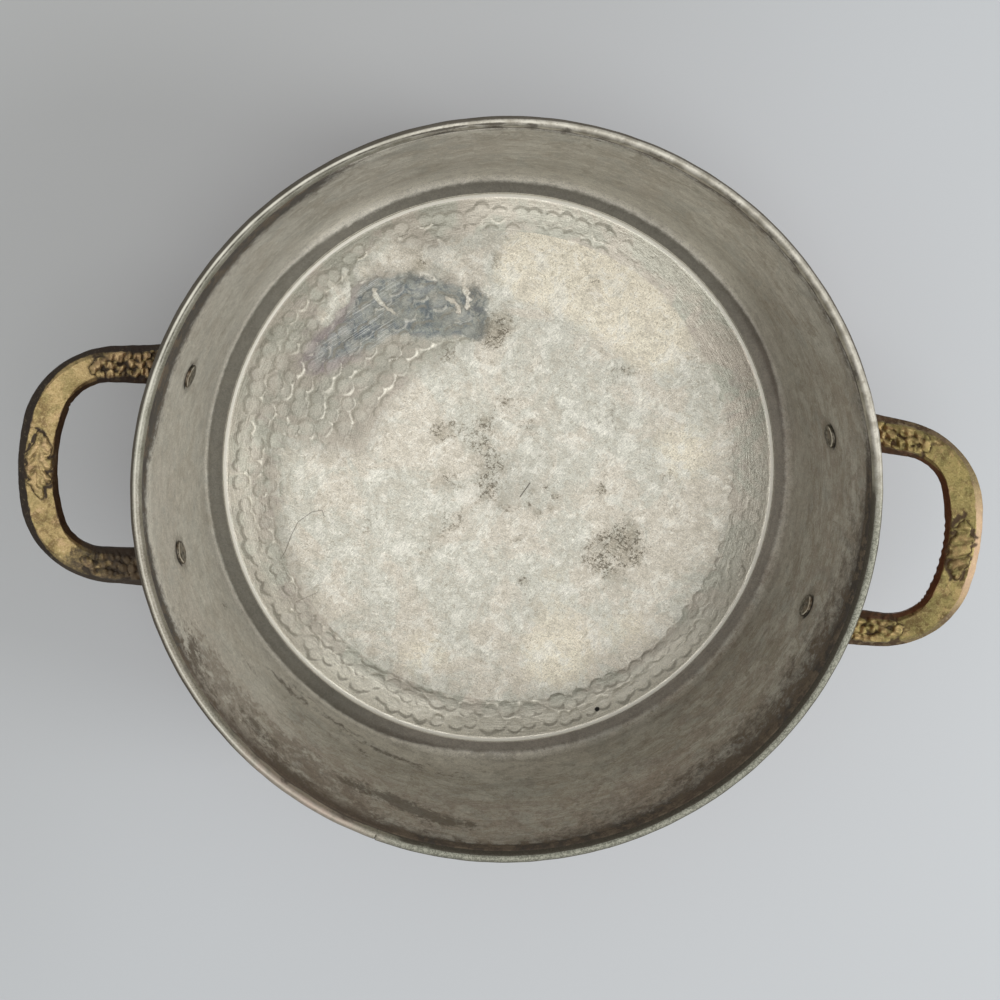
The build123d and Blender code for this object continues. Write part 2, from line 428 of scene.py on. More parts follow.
def copperProfile():
    # The sheet's half section, counter-clockwise: underside, wall, roll round the wire, inside.
    s = potSizes
    inside, outside, floor, cove = s["wallInside"], s["wallOutside"], s["floorSheet"], s["coveRadius"]
    corner = cove + floor
    bead = (s["beadCircle"], s["beadHeight"])
    end = rimLook["rollEnd"]
    hub, hidden = 4, 94.5  # the first ring's radius, and a height that the tin hides
    parts = [
        run((hub, 0), (outside - corner, 0), 15),
        arc((outside - corner, corner), corner, -90, -6, 10),
        run((outside, corner), (outside, s["thinningHeight"]), 22),
        run((outside, s["thinningHeight"]), (s["neckOutside"], s["beadHeight"]), 5),
        arc(bead, s["rollInside"], 180, end, 14),
        arc(bead, s["beadRadius"], end, 180, 34),
        run((inside, s["beadHeight"] - 0.3), (inside, hidden), 6),
        run((inside, hidden), (inside, corner), 2),
        arc((inside - cove, corner), cove, 0, -90, 6),
        run((inside - cove - 4, floor), (hub, floor), 4),
    ]
    return np.concatenate(parts)


def paintCopper():
    paint = Paint("agedCopper")
    broad = paint.noise(38, 4, 0.55, 0.4)
    fine = paint.noise(5, 4, 0.6)
    speck = paint.noise(1.1, 3, 0.65)
    grain = paint.noise(0.55, 2, 0.7)
    streak = paint.noise(30, 4, 0.6, 0.0, (1, 1, 14))
    dull = paint.mark("dull")
    base = paint.clouds(broad, 0.35, 0.65, (158, 104, 80), (118, 74, 56))
    base = paint.coats(base, [
        (streak, 0.45, 0.75, 0.5, (90, 62, 50)),
        (fine, 0.58, 0.72, 0.4, (178, 126, 100)),
    ])
    tinned = paint.clouds(fine, 0.36, 0.66, (152, 147, 134), (194, 190, 178))
    tinned = paint.coats(tinned, [
        (speck, 0.56, 0.7, 0.45, (112, 104, 90)),
        (paint.mark("pink") + (fine - 0.5) * 0.8, 0.3, 0.7, 0.75, (156, 134, 120)),
    ])
    dulled = paint.clouds(speck * 0.5 + grain * 0.5, 0.42, 0.58, (118, 118, 106), (160, 160, 146))
    tinned = paint.blend(dull, tinned, dulled)
    base = paint.blend(paint.step(paint.mark("rim") + (fine - 0.5) * 0.6, 0.4, 0.7), base, tinned)
    # Painted highlight along the rim.
    base = paint.tint(base, paint.mark("bright") * 0.7, (222, 219, 206))
    # Soot and dirt, and painted shade on the roll's outer side, all from the soot mark.
    sooty = paint.step(paint.mark("soot") + (fine - 0.5) * 0.7 + (speck - 0.5) * 0.4, 0.35, 0.7)
    base = paint.tint(base, sooty * 0.85, (62, 54, 42))
    dish = paint.cells(7.5)
    normal = paint.bump(dish * dish * paint.mark("hammered"), 0.35)
    normal = paint.bump(paint.noise(0.9, 3, 0.6), 0.05, normal)
    roughness = 0.4 + fine * 0.16 + sooty * 0.25 + dull * 0.12
    return paint.finish(base, roughness, 0.8 - sooty * 0.55, normal)


def makeCopper():
    # The half section turned about Z, with extra columns where the rim's joint steps.
    s = potSizes
    profile = copperProfile()
    even = np.arange(0, 360, 360 / rimLook["azimuths"] * coarse)
    near = s["joint"] + np.linspace(-0.42, 0.42, 13) + 0.013
    azimuth = np.sort(np.concatenate([even, near % 360]))
    radius = np.repeat(profile[:, :1], len(azimuth), axis=1)
    height = np.repeat(profile[:, 1:], len(azimuth), axis=1)
    a = np.repeat(azimuth[None], len(profile), axis=0)
    turns = np.radians(a)
    fromMiddle = np.hypot(radius - s["beadCircle"], height - s["beadHeight"])
    onRoll = np.clip(1 - np.abs(fromMiddle - s["beadRadius"]) / 0.3, 0, 1)
    # Dents and the joint shrink the roll towards its own middle, never past the wall.
    # Whole waves fit round the rim, so the dents close on themselves.
    beside = (a - s["joint"] + 180) % 360 - 180
    uneven = np.sin(turns * 31) * np.sin(turns * 13 + 1) + 0.6 * np.sin(turns * 71 + 2 * np.sin(turns * 5))
    shrink = rimLook["dents"] * (0.8 + uneven)
    shrink += rimLook["jointStep"] * window(a, s["joint"] - 4, 4, 0.25) * ease(beside, -9, -1)
    shrink += 0.3 * window(a, s["joint"], 0.02, 0.1)
    inwards = onRoll * np.clip(shrink, 0, 0.5) * ease(radius, 136.6, 137.6)
    radius = radius - inwards * (radius - s["beadCircle"]) / s["beadRadius"]
    height = height - (inwards + 0.03 * onRoll) * (height - s["beadHeight"]) / s["beadRadius"]
    grid = turned(radius, a, height)
    points, faces = cappedShell(grid)
    rim = ease(height, 95.0, 96.0)
    lumpy = 0.5 + 0.5 * np.sin(turns * 47 + 3 * np.sin(turns * 8))
    outer = ease(radius, 138.4, 139.4)
    left = window(a, 172, 48, 20)
    lowerRight = window(a, -50, 48, 20)
    inner = 1 - ease(radius, 136.7 - 0.2 * lowerRight, 137.7 - 0.6 * lowerRight)
    pink = sectors(a, rimLook["pink"])
    # Part of the soot mark is painted shade: the darker outer side of the roll, all round and most at the
    # upper left, upper right and left. The rest is soot and dirt.
    soot = outer * sectors(a, rimLook["outerSoot"]) + inner * sectors(a, rimLook["innerSoot"])
    soot += inner * lumpy * sectors(a, rimLook["lumpySoot"])
    soot += (0.32 + 0.3 * np.sin((radius - s["beadCircle"]) * 5)) * window(a, 130, 28, 18)
    soot += lowerRight * (0.16 + 0.4 * np.exp(-((radius - 139.35) / 0.2) ** 2))
    soot += 0.42 * left * ease(radius, 138.3, 138.8) + 0.4 * window(a, s["joint"], 0.05, 0.2)
    # Below the rim: darker in the crease under the roll, and darker towards the foot of the outer wall.
    crease = ease(97.2 - height, 0, 0.8) * ease(height, 90, 95) * (radius < 137)
    soot = rim * soot + 0.7 * crease * (1 - 0.75 * left)
    soot += 0.25 * ease(radius, 137, 137.5) * (1 - ease(height, 3, 30))
    # Painted highlight on the roll: lumpy light bands on its outer half at the top and on its inner half at
    # the upper left, and a thin light line along it at the left.
    bright = lumpy * ((1 - inner) * 0.35 * window(a, 100, 60, 30) + inner * 0.3 * window(a, 165, 40, 20))
    bright += 0.9 * left * np.exp(-((radius - 137.9) / 0.28) ** 2)
    dull = np.maximum(lowerRight, 0.7 * left)
    marks = {"rim": rim, "pink": rim * pink, "soot": soot, "bright": rim * bright, "dull": rim * dull,
             "hammered": 1 - ease(height, 84, 92)}
    marks = {key: np.append(value.ravel(), [value[0, 0], value[-1, 0]]) for key, value in marks.items()}
    return makePiece("copperSheet", points, faces, marks, ["pot_body"], paintCopper())


makeCopper()


wallLook = {
    "azimuths": 720,
    "ripple": 0.05,  # depth of the faint dents left by the hammer
    "scrape": 0.02,
    "crease": (129.15, 0.14, 130.0, 0.12),  # crease: radius and depth; second ridge: radius and height
    # Each row is a strength, the two heights it grows between, and its middle, half and soft degrees.
    "soot": [
        (0.9, 91, 94, -42, 40, 22), (0.25, 84, 95, -30, 26, 20), (0.32, 60, 96, -35, 30, 25),
        (0.36, 60, 96, -128, 26, 16), (0.36, 84, 95, -95, 28, 20), (0.3, 90, 95.5, -128, 34, 18),
        (0.34, 84, 95, 160, 40, 20), (0.5, 90, 95.5, 55, 35, 18), (0.6, 78, 92, 150, 18, 14),
        (0.2, 64, 76, -22, 26, 16), (0.4, 90, 95.5, 166, 26, 14), (0.3, 74, 86, 150, 22, 16),
    ],
    "brown": [(0.5, 50, 70, -130, 16, 14), (0.5, 84, 95, -95, 40, 25), (0.45, 70, 86, -30, 16, 14)],
    "stains": [  # azimuth and height of each, its size along both, and its strength
        (-106, 66, 6, 6, 1.0), (-100.5, 73, 6, 5, 1.0), (-93, 76, 5, 5, 0.9), (-113, 69, 4, 4, 0.7),
        (-132, 79, 6, 7, 0.9), (-124, 90, 7, 6, 0.9), (-146, 90, 7, 7, 0.75), (-150, 80, 4, 7, 0.6),
        (-151, 24, 2.5, 6, 0.6), (-131, 22, 8, 3, 0.85), (-120, 18, 8, 2.5, 0.85), (-108, 24, 9, 3, 0.9),
        (-126, 13, 4, 2.5, 0.7), (-114, 34, 7, 3, 0.6), (-96, 30, 8, 3, 0.5), (-139, 40, 5, 3, 0.5),
    ],
}


def paintTinWall():
    paint = Paint("tinnedWall")
    streak = paint.noise(26, 5, 0.65, 0.4, (1, 1, 3.5))
    fineStreak = paint.noise(5, 4, 0.65, 0.2, (1, 1, 6))
    blotch = paint.noise(24, 6, 0.68, 0.6)
    tarnish = paint.noise(15, 6, 0.72, 0.9)
    tint = paint.noise(19, 5, 0.65, 1.2)
    patchy = paint.noise(9, 6, 0.72, 0.4)
    fleck = paint.noise(3.4, 5, 0.75)
    speck = paint.noise(1.3, 3, 0.7)
    grain = paint.noise(0.6, 2, 0.7)
    soot = paint.mark("soot")
    reddish = paint.mark("reddish")
    base = paint.clouds(streak, 0.4, 0.6, (170, 165, 153), (193, 190, 179))
    base = paint.coats(base, [
        (tarnish, 0.49, 0.59, 0.6, (130, 120, 104)),
        (blotch, 0.47, 0.62, 0.45, (156, 146, 131)),
        (patchy, 0.53, 0.6, 0.4, (204, 200, 189)),
        (fineStreak, 0.53, 0.61, 0.2, (208, 205, 195)),
        (fineStreak, 0.46, 0.38, 0.22, (124, 116, 101)),
        (tint, 0.52, 0.6, 0.35, (150, 152, 146)),
    ])
    # Painted light: the low mark makes the lower wall lighter.
    base = paint.tint(base, (paint.mark("low") * 0.5).clamp(), (236, 232, 220))
    pink = paint.step(paint.mark("pink") + (patchy - 0.5) * 1.3, 0.3, 0.8)
    base = paint.tint(base, pink * 0.35, (164, 136, 122))
    # Painted shade, darker over the right and lower walls and a little near the top.
    paintedShade = paint.step(paint.mark("shade") + (patchy - 0.5) * 0.5, 0.1, 0.95)
    base = paint.tint(base, paintedShade * 0.6, (106, 97, 84))
    # Painted highlight, lighter near the top and down the left side.
    bright = paint.step(paint.mark("bright") + (patchy - 0.5) * 0.9, 0.25, 0.75)
    base = paint.tint(base, bright * 0.7, (218, 215, 204))
    sooty = soot + (patchy - 0.5) * 0.8 + (fleck - 0.5) * 0.9 + (speck - 0.5) * 0.6
    sooty = paint.step(sooty, 0.32, 1.0)
    base = paint.tint(base, sooty * 0.92, (48, 41, 34))
    stained = paint.mark("stain") * 0.9 + (patchy - 0.5) * 1.5 + (fleck - 0.5) * 1.6 + (speck - 0.5) * 0.9
    cloudy = patchy * 0.55 + fleck * 0.45
    base = paint.coats(base, [
        (paint.mark("brown") + (patchy - 0.5) * 1.3 + (fleck - 0.5) * 0.8, 0.42, 0.66, 0.5, (98, 82, 66)),
        (stained, 0.36, 0.84, 0.72, (78, 68, 55)),
        (cloudy, 0.49, 0.57, (0.12 + soot * 0.5).clamp(), (104, 92, 76)),
    ])
    # The shadow in the cove: two greys, redder at the lower right.
    cove = paint.step(paint.mark("cove") + (fineStreak - 0.5) * 0.7 + (fleck - 0.5) * 0.4, 0.12, 0.85)
    deep = paint.step(paint.mark("deep") + (patchy - 0.5) * 0.8, 0.1, 0.9)
    coveTone = paint.tint(colour(92, 88, 76), reddish * deep, (94, 84, 75))
    coveTone = paint.tint(coveTone, (1 - deep) * reddish, (124, 117, 106))
    base = paint.blend(cove * 0.9, base, coveTone)
    base = paint.coats(base, [(speck * 0.6 + fleck * 0.4, 0.57, 0.65, 0.4, (92, 82, 68))])
    # Dirt about the rivets, and a painted shadow over the upper edge of each head.
    away, rise = fromRivet(paint)
    offEdge = (away - 5.3 + (fleck - 0.5) * 1.6).size()
    headShadow = (1 - paint.step(offEdge, 0.3, 0.95)) * paint.step(rise + (patchy - 0.5) * 5, 0.5, 2.8)
    dirt = (1 - paint.step(away + (patchy - 0.5) * 12, 4.5, 9)) * 0.5
    base = paint.tint(base, dirt, (96, 86, 72))
    level = 1 + (fineStreak - 0.5) * 0.3 + (tarnish - 0.5) * 0.5 + (speck - 0.5) * 0.6 + (grain - 0.5) * 0.8
    base = paint.blend(1.0, base, level, "MULTIPLY")
    # Painted shadow over the upper edge of each rivet head.
    base = paint.tint(base, headShadow * 0.95, (20, 16, 12))
    normal = paint.bump(fineStreak * 0.35 + fleck * 0.65, 0.1)
    normal = paint.bump(grain * 0.5 + speck * 0.5, 0.05, normal)
    roughness = 0.42 + streak * 0.12 + sooty * 0.25 + paintedShade * 0.08 + cove * 0.15
    return paint.finish(base, roughness, (0.4 - sooty * 0.3 - cove * 0.2).clamp(), normal)


def wallProfile():
    # Inner face from its top edge down the wall and round the cove, then back up behind it, and the
    # number of points on the inner face.
    top = (tinInside, potSizes["tinTop"])
    cove = (floorEdge, tinFloor + tinCorner)
    back = potSizes["wallInside"]
    parts = [
        run(top, (tinInside, 88), 12 // coarse),
        run((tinInside, 88), (tinInside, cove[1]), 46 // coarse),
        arc(cove, tinCorner, 0, -60, 18 // coarse),
        arc(cove, tinCorner, -60, -90, 26 // coarse)[1:],
        run((floorEdge, potSizes["floorSheet"]), (floorEdge + 0.1, potSizes["floorSheet"]), 1),
        arc(cove, potSizes["coveRadius"], -84, 0, 6),
        run((back, cove[1] + 3), (back, 96.2), 3),
        run((back, 96.2), (back, 96.2), 1),
    ]
    shown = sum(len(part) for part in parts[:4])
    return np.concatenate(parts), shown


def makeWall():
    # The half section turned about Z, its radius tinInside plus faint rings and dents.
    profile, shown = wallProfile()
    count = wallLook["azimuths"] // coarse
    azimuth = np.arange(count) * 360 / count
    radius = np.repeat(profile[:, :1], count, axis=1)
    height = np.repeat(profile[:, 1:], count, axis=1)
    a = np.repeat(azimuth[None], len(profile), axis=0)
    inner = (radius < tinInside + 0.01) & (height > tinFloor - 0.01)
    inner[shown:] = False
    onWall = inner * ease(height, 4, 12) * ease(96.0 - height, 0, 3)
    # Whole waves fit round the wall, so the dents close on themselves.
    turns = np.radians(a)
    dents = np.sin(turns * 23 + height * 0.21) * np.sin(turns * 41 - height * 0.17 + 1)
    dents += 0.7 * np.sin(turns * 67 + height * 0.31 + 2) * np.sin(turns * 12 - height * 0.4)
    rings = np.sin(height * 1.7) * 0.5 + np.sin(height * 0.9 + 2 * np.sin(turns * 3))
    away = onWall * (wallLook["ripple"] * (dents * 0.5 - 0.6) + wallLook["scrape"] * rings)
    # A crease beside the floor's ridge, and a low second ridge outside it.
    crease, creaseDepth, ridge, ridgeHeight = wallLook["crease"]
    nearFloor = inner * (height < 5)
    second = 0.1 + 0.9 * window(a, -38, 34, 20)
    lift = ridgeHeight * second * np.exp(-((radius - ridge) / 0.6) ** 2)
    lift -= creaseDepth * np.exp(-((radius - crease) / 0.32) ** 2) * ease(radius, floorEdge, floorEdge + 0.3)
    height = height + nearFloor * lift
    points, faces = ringShell(turned(radius + away, a, height))
    top = ease(height, 84, 95)
    soot = 0.1 + 0.16 * window(a, -55, 30, 24) + bands(height, a, wallLook["soot"])
    pink = 0.5 * ease(height, 30, 60) * window(a, -120, 55, 25) + 0.42 * window(a, -15, 30, 24)
    edge = 7.4 - sectors(a, [(1.9, 90, 32, 28), (2.2, -40, 50, 25), (0.5, 175, 48, 26)])
    shadow = ease(edge - height, 0, 3.2) * ease(radius, 129.0, 129.5)
    shadow = np.maximum(shadow, 1.4 * np.exp(-((radius - 129.6) / 0.4) ** 2) * (height < 5))
    # Painted light: the wall lighter low down, by amounts that change round it, and a little lighter higher
    # up at the top and bottom.
    low = 1 + sectors(a, [(0.75, 95, 45, 30), (-0.8, 190, 25, 25), (0.7, -108, 26, 20), (-0.6, -52, 26, 20)])
    low *= 1 - ease(height, 8, 36)
    low += sectors(a, [(0.26, 92, 34, 26), (0.2, -92, 22, 18)]) * (1 - ease(height, 62, 88))
    # Painted highlight: lighter near the top of the wall at the upper left and at the top, and down the left
    # side.
    bright = 0.8 * top * (1 - ease(height, 90, 95.5)) * window(a, 165, 35, 25)
    bright += 0.5 * top * window(a, 100, 30, 20) + 0.52 * window(a, 182, 40, 25)
    stain = np.zeros_like(a)
    signed = (a + 180) % 360 - 180
    for place, level, wide, tall, strength in wallLook["stains"]:
        stain += strength * np.exp(-((signed - place) / wide) ** 2 - ((height - level) / tall) ** 2)
    marks = {
        "stain": stain, "soot": soot, "pink": pink, "bright": bright, "cove": shadow, "low": low,
        "shade": 0.42 * window(a, -45, 70, 45) + 0.2 * top,
        "brown": 0.12 + bands(height, a, wallLook["brown"]),
        "reddish": window(a, -35, 60, 30),
        "deep": ease(height, 1.95, 4.6),
    }
    return makePiece("tinWall", points, faces, marks, ["tin_lining"], paintTinWall())


makeWall()


floorLook = {
    # Outer radius, inner radius, grid rows and grid columns of each part of the floor.
    "rings": [(128.9, 100, 60, 1480), (100, 62, 76, 1240), (62, 26, 58, 640), (26, 0.8, 36, 256)],
    "pitch": 7.4,  # from mark to mark along a row
    "rows": [  # radius of a row of hammer marks, depth, and where it shows: middle, half and soft degrees
        (120.3, 0.15, [(0, 180, 1)]),
        (113.0, 0.14, [(0, 180, 1)]),
        (106.2, 0.10, [(150, 100, 25)]),
        (99.2, 0.10, [(148, 62, 20)]),
        (92.2, 0.10, [(146, 46, 18)]),
        (85.2, 0.10, [(142, 40, 15)]),
        (78.2, 0.10, [(138, 34, 14)]),
        (71.2, 0.08, [(132, 30, 12)]),
        (64.2, 0.05, [(126, 26, 12)]),
    ],
    "markRadius": 4.2,
    "beadRing": (127.95, 0.15, 0.85),  # worn ridge round the floor: radius, height and width
    # Each row is a strength, then the middle, half and soft degrees of where it shows.
    "greyLimit": [(2.6, 82, 26, 16), (-2.5, 215, 50, 30)],  # added to the radius of the frost's edge
    "greySoft": [(2.5, 190, 60, 40), (6.0, 36, 22, 16)],
    "light": [(0.5, -62, 58, 18), (0.4, -100, 26, 20), (0.25, -4, 14, 16), (0.5, 72, 20, 16)],
    # Blotches: each is x, y, size and strength.
    "blue": [
        (-58, 76, 10, 0.9), (-46, 80, 10, 0.9), (-33, 77, 10, 0.9), (-20, 79, 8, 0.8), (-17, 67, 7, 0.7),
        (-66, 65, 10, 0.9), (-75, 58, 8, 0.75), (-83, 52, 7, 0.55), (-88, 46, 7, 0.35), (-40, 66, 8, 0.6),
        (-65, 76, 8, 0.8), (-50, 71, 9, 0.7), (-28, 69, 7, 0.6),
    ],
    "frosted": [(-81, 75, 5, 0.9), (-61, 96, 7, 1.1), (-30, 97, 8, 1.0), (-47, 94, 8, 1.0), (-87, 66, 5, 0.7),
                (-71, 88, 5, 0.8)],
    "stains": [
        (62, -22, 7, 0.9), (66, -30, 6, 0.8), (52, -26, 7, 0.6), (47, -34, 7, 0.55), (57, -40, 8, 0.5),
        (47.6, -0.9, 2.6, 0.9), (11, -28, 3, 0.6), (15, -48, 3, 0.7), (-31, 18, 6, 0.6), (-22, 22, 6, 0.4),
        (-10, 26, 4, 0.7), (-11, 16, 6, 0.6), (-4, 6, 7, 0.55), (-7, -6, 7, 0.6), (4, -15, 5, 0.4),
        (-20, -22, 8, 0.45), (-26, -3, 6, 0.5), (18, 12, 6, 0.4), (10, 24, 6, 0.35), (-2, 34, 6, 0.4),
        (-7, 70, 6, 1.2), (-10, 63, 4, 0.8), (34, 95, 5, 0.4), (51, 54, 6, 0.5), (47, 31, 6, 0.35),
        (-46, 93, 4, 0.7), (-30, -34, 8, 0.3), (-60, -28, 8, 0.25), (76, 8, 6, 0.3), (20, -60, 7, 0.2),
        (18.5, -14.5, 2.2, 0.7), (24.5, -12, 2.2, 0.6), (26, -6, 2.2, 0.7), (21, -2.6, 2.2, 0.5),
        (15, -5, 2, 0.5), (14, -11, 2, 0.6), (-12, 100, 6, 0.3), (-55, 52, 5, 0.5), (-30, 55, 5, 0.5),
    ],
    "warm": [
        (40, 92, 22, 1.1), (14, 102, 18, 1.1), (66, 72, 20, 0.9), (84, 20, 20, 0.7), (34, -84, 22, 0.8),
        (-28, -88, 20, 0.6), (70, -66, 18, 0.5), (0, 96, 16, 0.6), (-96, 4, 10, 0.3), (30, -46, 20, 0.4),
    ],
    # Paths through x, y: raised wrinkles in the tin, a hair-like line, a nick and a scratch.
    "ridges": [
        [(-30.2, 99.7), (-28.5, 96.3), (-26.2, 90.8), (-25.2, 85.0), (-22.5, 79.9), (-23.1, 76.3)],
        [(-65.7, 80.2), (-63.6, 75.9), (-59.7, 73.1), (-55.9, 70.8)],
        [(-13.6, 87.5), (-12.3, 83.2), (-10.5, 78.8), (-8.1, 78.2)],
        [(-33.0, 79.8), (-30.2, 79.2), (-27.2, 76.8), (-26.5, 74.1)],
        [(-30.5, 52.0), (-26.6, 54.6), (-25.2, 59.3)],
        [(-79.8, 87.7), (-77.5, 80.8), (-78.4, 74.5)],
        [(-85.7, 81.8), (-82.6, 75.8), (-84.0, 70.3), (-88.1, 64.5)],
    ],
    "hair": [(-80.7, -25.2), (-81.9, -22.5), (-86.5, -23.8), (-92.6, -29.1), (-95.4, -36.0), (-97.7, -43.9),
             (-99.3, -46.9)],
    "nick": [(9.5, -8.1), (12.4, -3.1), (13.6, -1.1)],
    "scratch": [(-81, -61.7), (-91, -67.4)],
    "dot": (57.0, -108.1, 1.2),  # x, y and radius of the black dot
}


def blotches(x, y, places):
    # Sum of soft round blotches s exp(-(d/size)^2), from each one's x, y, size and strength s.
    total = np.zeros_like(x)
    for px, py, size, strength in places:
        total += strength * np.exp(-((x - px) ** 2 + (y - py) ** 2) / size ** 2)
    return total


def nearest(x, y, corners):
    # Distance to the nearest run of a path, by projection on each run.
    least = np.full(x.shape, 99.0)
    for (ax, ay), (bx, by) in zip(corners, corners[1:]):
        dx, dy = bx - ax, by - ay
        share = np.clip(((x - ax) * dx + (y - ay) * dy) / (dx * dx + dy * dy), 0, 1)
        least = np.minimum(least, np.hypot(x - ax - share * dx, y - ay - share * dy))
    return least


def tracks(x, y, paths, width):
    # 1 on every path, fading away from it: exp(-(d/width)^2) with d to the nearest run.
    least = np.min([nearest(x, y, corners) for corners in paths], axis=0)
    return np.exp(-(least / width) ** 2)


def depthInside(x, y, corners):
    # Distance to a closed outline, above 0 inside it, where a ray to +X crosses an odd number of edges.
    inside = np.zeros(x.shape, dtype=bool)
    for (ax, ay), (bx, by) in zip(corners, corners[1:] + corners[:1]):
        crossing = (ay > y) != (by > y)
        inside ^= crossing & (x < ax + (bx - ax) * (y - ay) / (by - ay or 1))
    return np.where(inside, 1, -1) * nearest(x, y, corners + corners[:1])


def hammerMarks(radius, azimuth, uneven):
    # Overlapping dishes: depth (1 - (d/size)^4), deeper on the side towards the pot's middle.
    # The arcs it returns are above 0 where a highlight is painted at that side, and below 0 where shade is
    # painted across from it.
    source = np.random.default_rng(11)
    dent = np.zeros((len(radius), len(azimuth)))
    lip = np.zeros_like(dent)
    for ringRadius, depth, places in floorLook["rows"]:
        count = int(round(2 * math.pi * ringRadius / floorLook["pitch"]))
        turns = (np.arange(count) + source.uniform(-0.3, 0.3, count)) * 360 / count
        shifts = source.uniform(-1.6, 1.6, count)
        sizes = source.uniform(0.78, 1.12, count) * floorLook["markRadius"]
        depths = source.uniform(0.3, 1.2, count) * depth
        glints = source.uniform(0.25, 1.0, count)
        strengths = 1.0 - 0.35 * window(turns, 5, 35, 25) - 0.4 * window(turns, 38, 24, 12)
        strengths += 0.25 * window(turns, 145, 30, 20)
        for turn, shift, size, deep, glint, strength in zip(turns, shifts, sizes, depths, glints, strengths):
            seen = max(window(np.array(turn), *place) for place in places) * strength
            centre = ringRadius + shift
            if seen < 0.05:
                continue
            rows = np.nonzero(np.abs(radius - centre) < size + 1.5)[0]
            away = (azimuth - turn + 180) % 360 - 180
            columns = np.nonzero(np.abs(away) < math.degrees((size + 1.5) / centre))[0]
            if not len(rows) or not len(columns):
                continue
            here = np.ix_(rows, columns)
            across = np.radians(away[columns])[None] * radius[rows][:, None]
            inwards = (centre - radius[rows])[:, None] / size + 0 * across
            distance = np.hypot(across / size, inwards) * (1 + 0.09 * uneven[here])
            dish = seen * deep * (1 + 0.6 * inwards) * np.clip(1 - distance ** 4, 0, 1)
            bright = np.exp(-((distance - 1.0) / 0.2) ** 2) * ease(inwards, -0.2, 0.9) * glint
            dark = np.exp(-((distance - 0.88) / 0.22) ** 2) * ease(-inwards, -0.1, 0.8)
            shown = dish + 0.012 > dent[here]
            lip[here] = np.where(dish > dent[here], lip[here] * 0.25, lip[here])
            lip[here] += np.where(shown, min(seen, 1) * (bright - 0.8 * dark), 0)
            dent[here] = np.maximum(dent[here], dish)
    return dent, lip


def floorGround(radius, azimuth):
    # Floor height above the tin: the ridge, the dents and lips of the marks, and low swells.
    look = floorLook
    r, a = np.meshgrid(radius, azimuth, indexing="ij")
    x = r * np.cos(np.radians(a))
    y = r * np.sin(np.radians(a))
    dent, lip = hammerMarks(radius, azimuth, waves(x, y, 9, 6))
    ringRadius, ringHeight, ringWidth = look["beadRing"]
    ridge = np.exp(-np.abs((r - ringRadius) / ringWidth) ** 4)
    veins = tracks(x + 0.5 * waves(x, y, 12, 3), y, look["ridges"], 1.2)
    ground = ringHeight * ridge - 0.7 * dent + 0.03 * lip + 0.06 * veins
    ground += 0.05 * waves(x, y, 5, 34) * (1 - ease(r, 118, 125))
    ground += 0.022 * waves(x, y, 6, 9) * (1 - ease(r, 108, 122))
    # Where the tin lies smooth and grey, and not frosted: outside a limit, and at the upper left.
    limit = 109.8 + sectors(a, look["greyLimit"])
    soft = 0.9 + sectors(a, look["greySoft"])
    upper = window(a, 140, 27, 16) * ease(r, 54, 72)
    grey = np.maximum(ease(r, limit - soft, limit + soft), upper)
    dented = 0.9 * ease(dent, 0.008, 0.03) * ease(r, 98, 104)
    dented *= (1 - window(a, 82, 26, 16)) * (1 - 0.6 * window(a, -128, 32, 18))
    cream = np.clip(blotches(x, y, look["frosted"]) + veins, 0, 1)
    grey = np.maximum(grey, dented) - 1.3 * cream
    # Painted light: the smooth outer band lighter at the lower right, bottom, right, top and left.
    light = ease(r, 108, 126) * sectors(a, look["light"]) + ease(r, 112, 120) * 0.4 * window(a, 192, 24, 18)
    light += ease(r, 110, 118) * 0.8 * window(a, -80, 38, 22)
    dark = 0.55 * window(a, 160, 42, 30) * ease(r, 98, 106) * (1 - ease(r, 108, 119))
    dark = np.maximum(dark, 0.85 * upper * (1 - 0.3 * ease(r, 108, 120))) * (1 - cream)
    dark += 0.34 * window(a, -48, 36, 26) * ease(r, 106, 112) + 0.28 * blotches(x, y, [(4, -2, 17, 1.0)])
    marks = {
        "dent": np.clip(dent / 0.12, 0, 1), "lip": lip, "ridge": ridge, "grey": grey, "light": light,
        "dark": dark, "blue": np.clip(blotches(x, y, look["blue"]), 0, 1) * (1 - veins),
        "stain": blotches(x, y, look["stains"]), "warm": blotches(x, y, look["warm"]),
    }
    return x, y, ground, marks


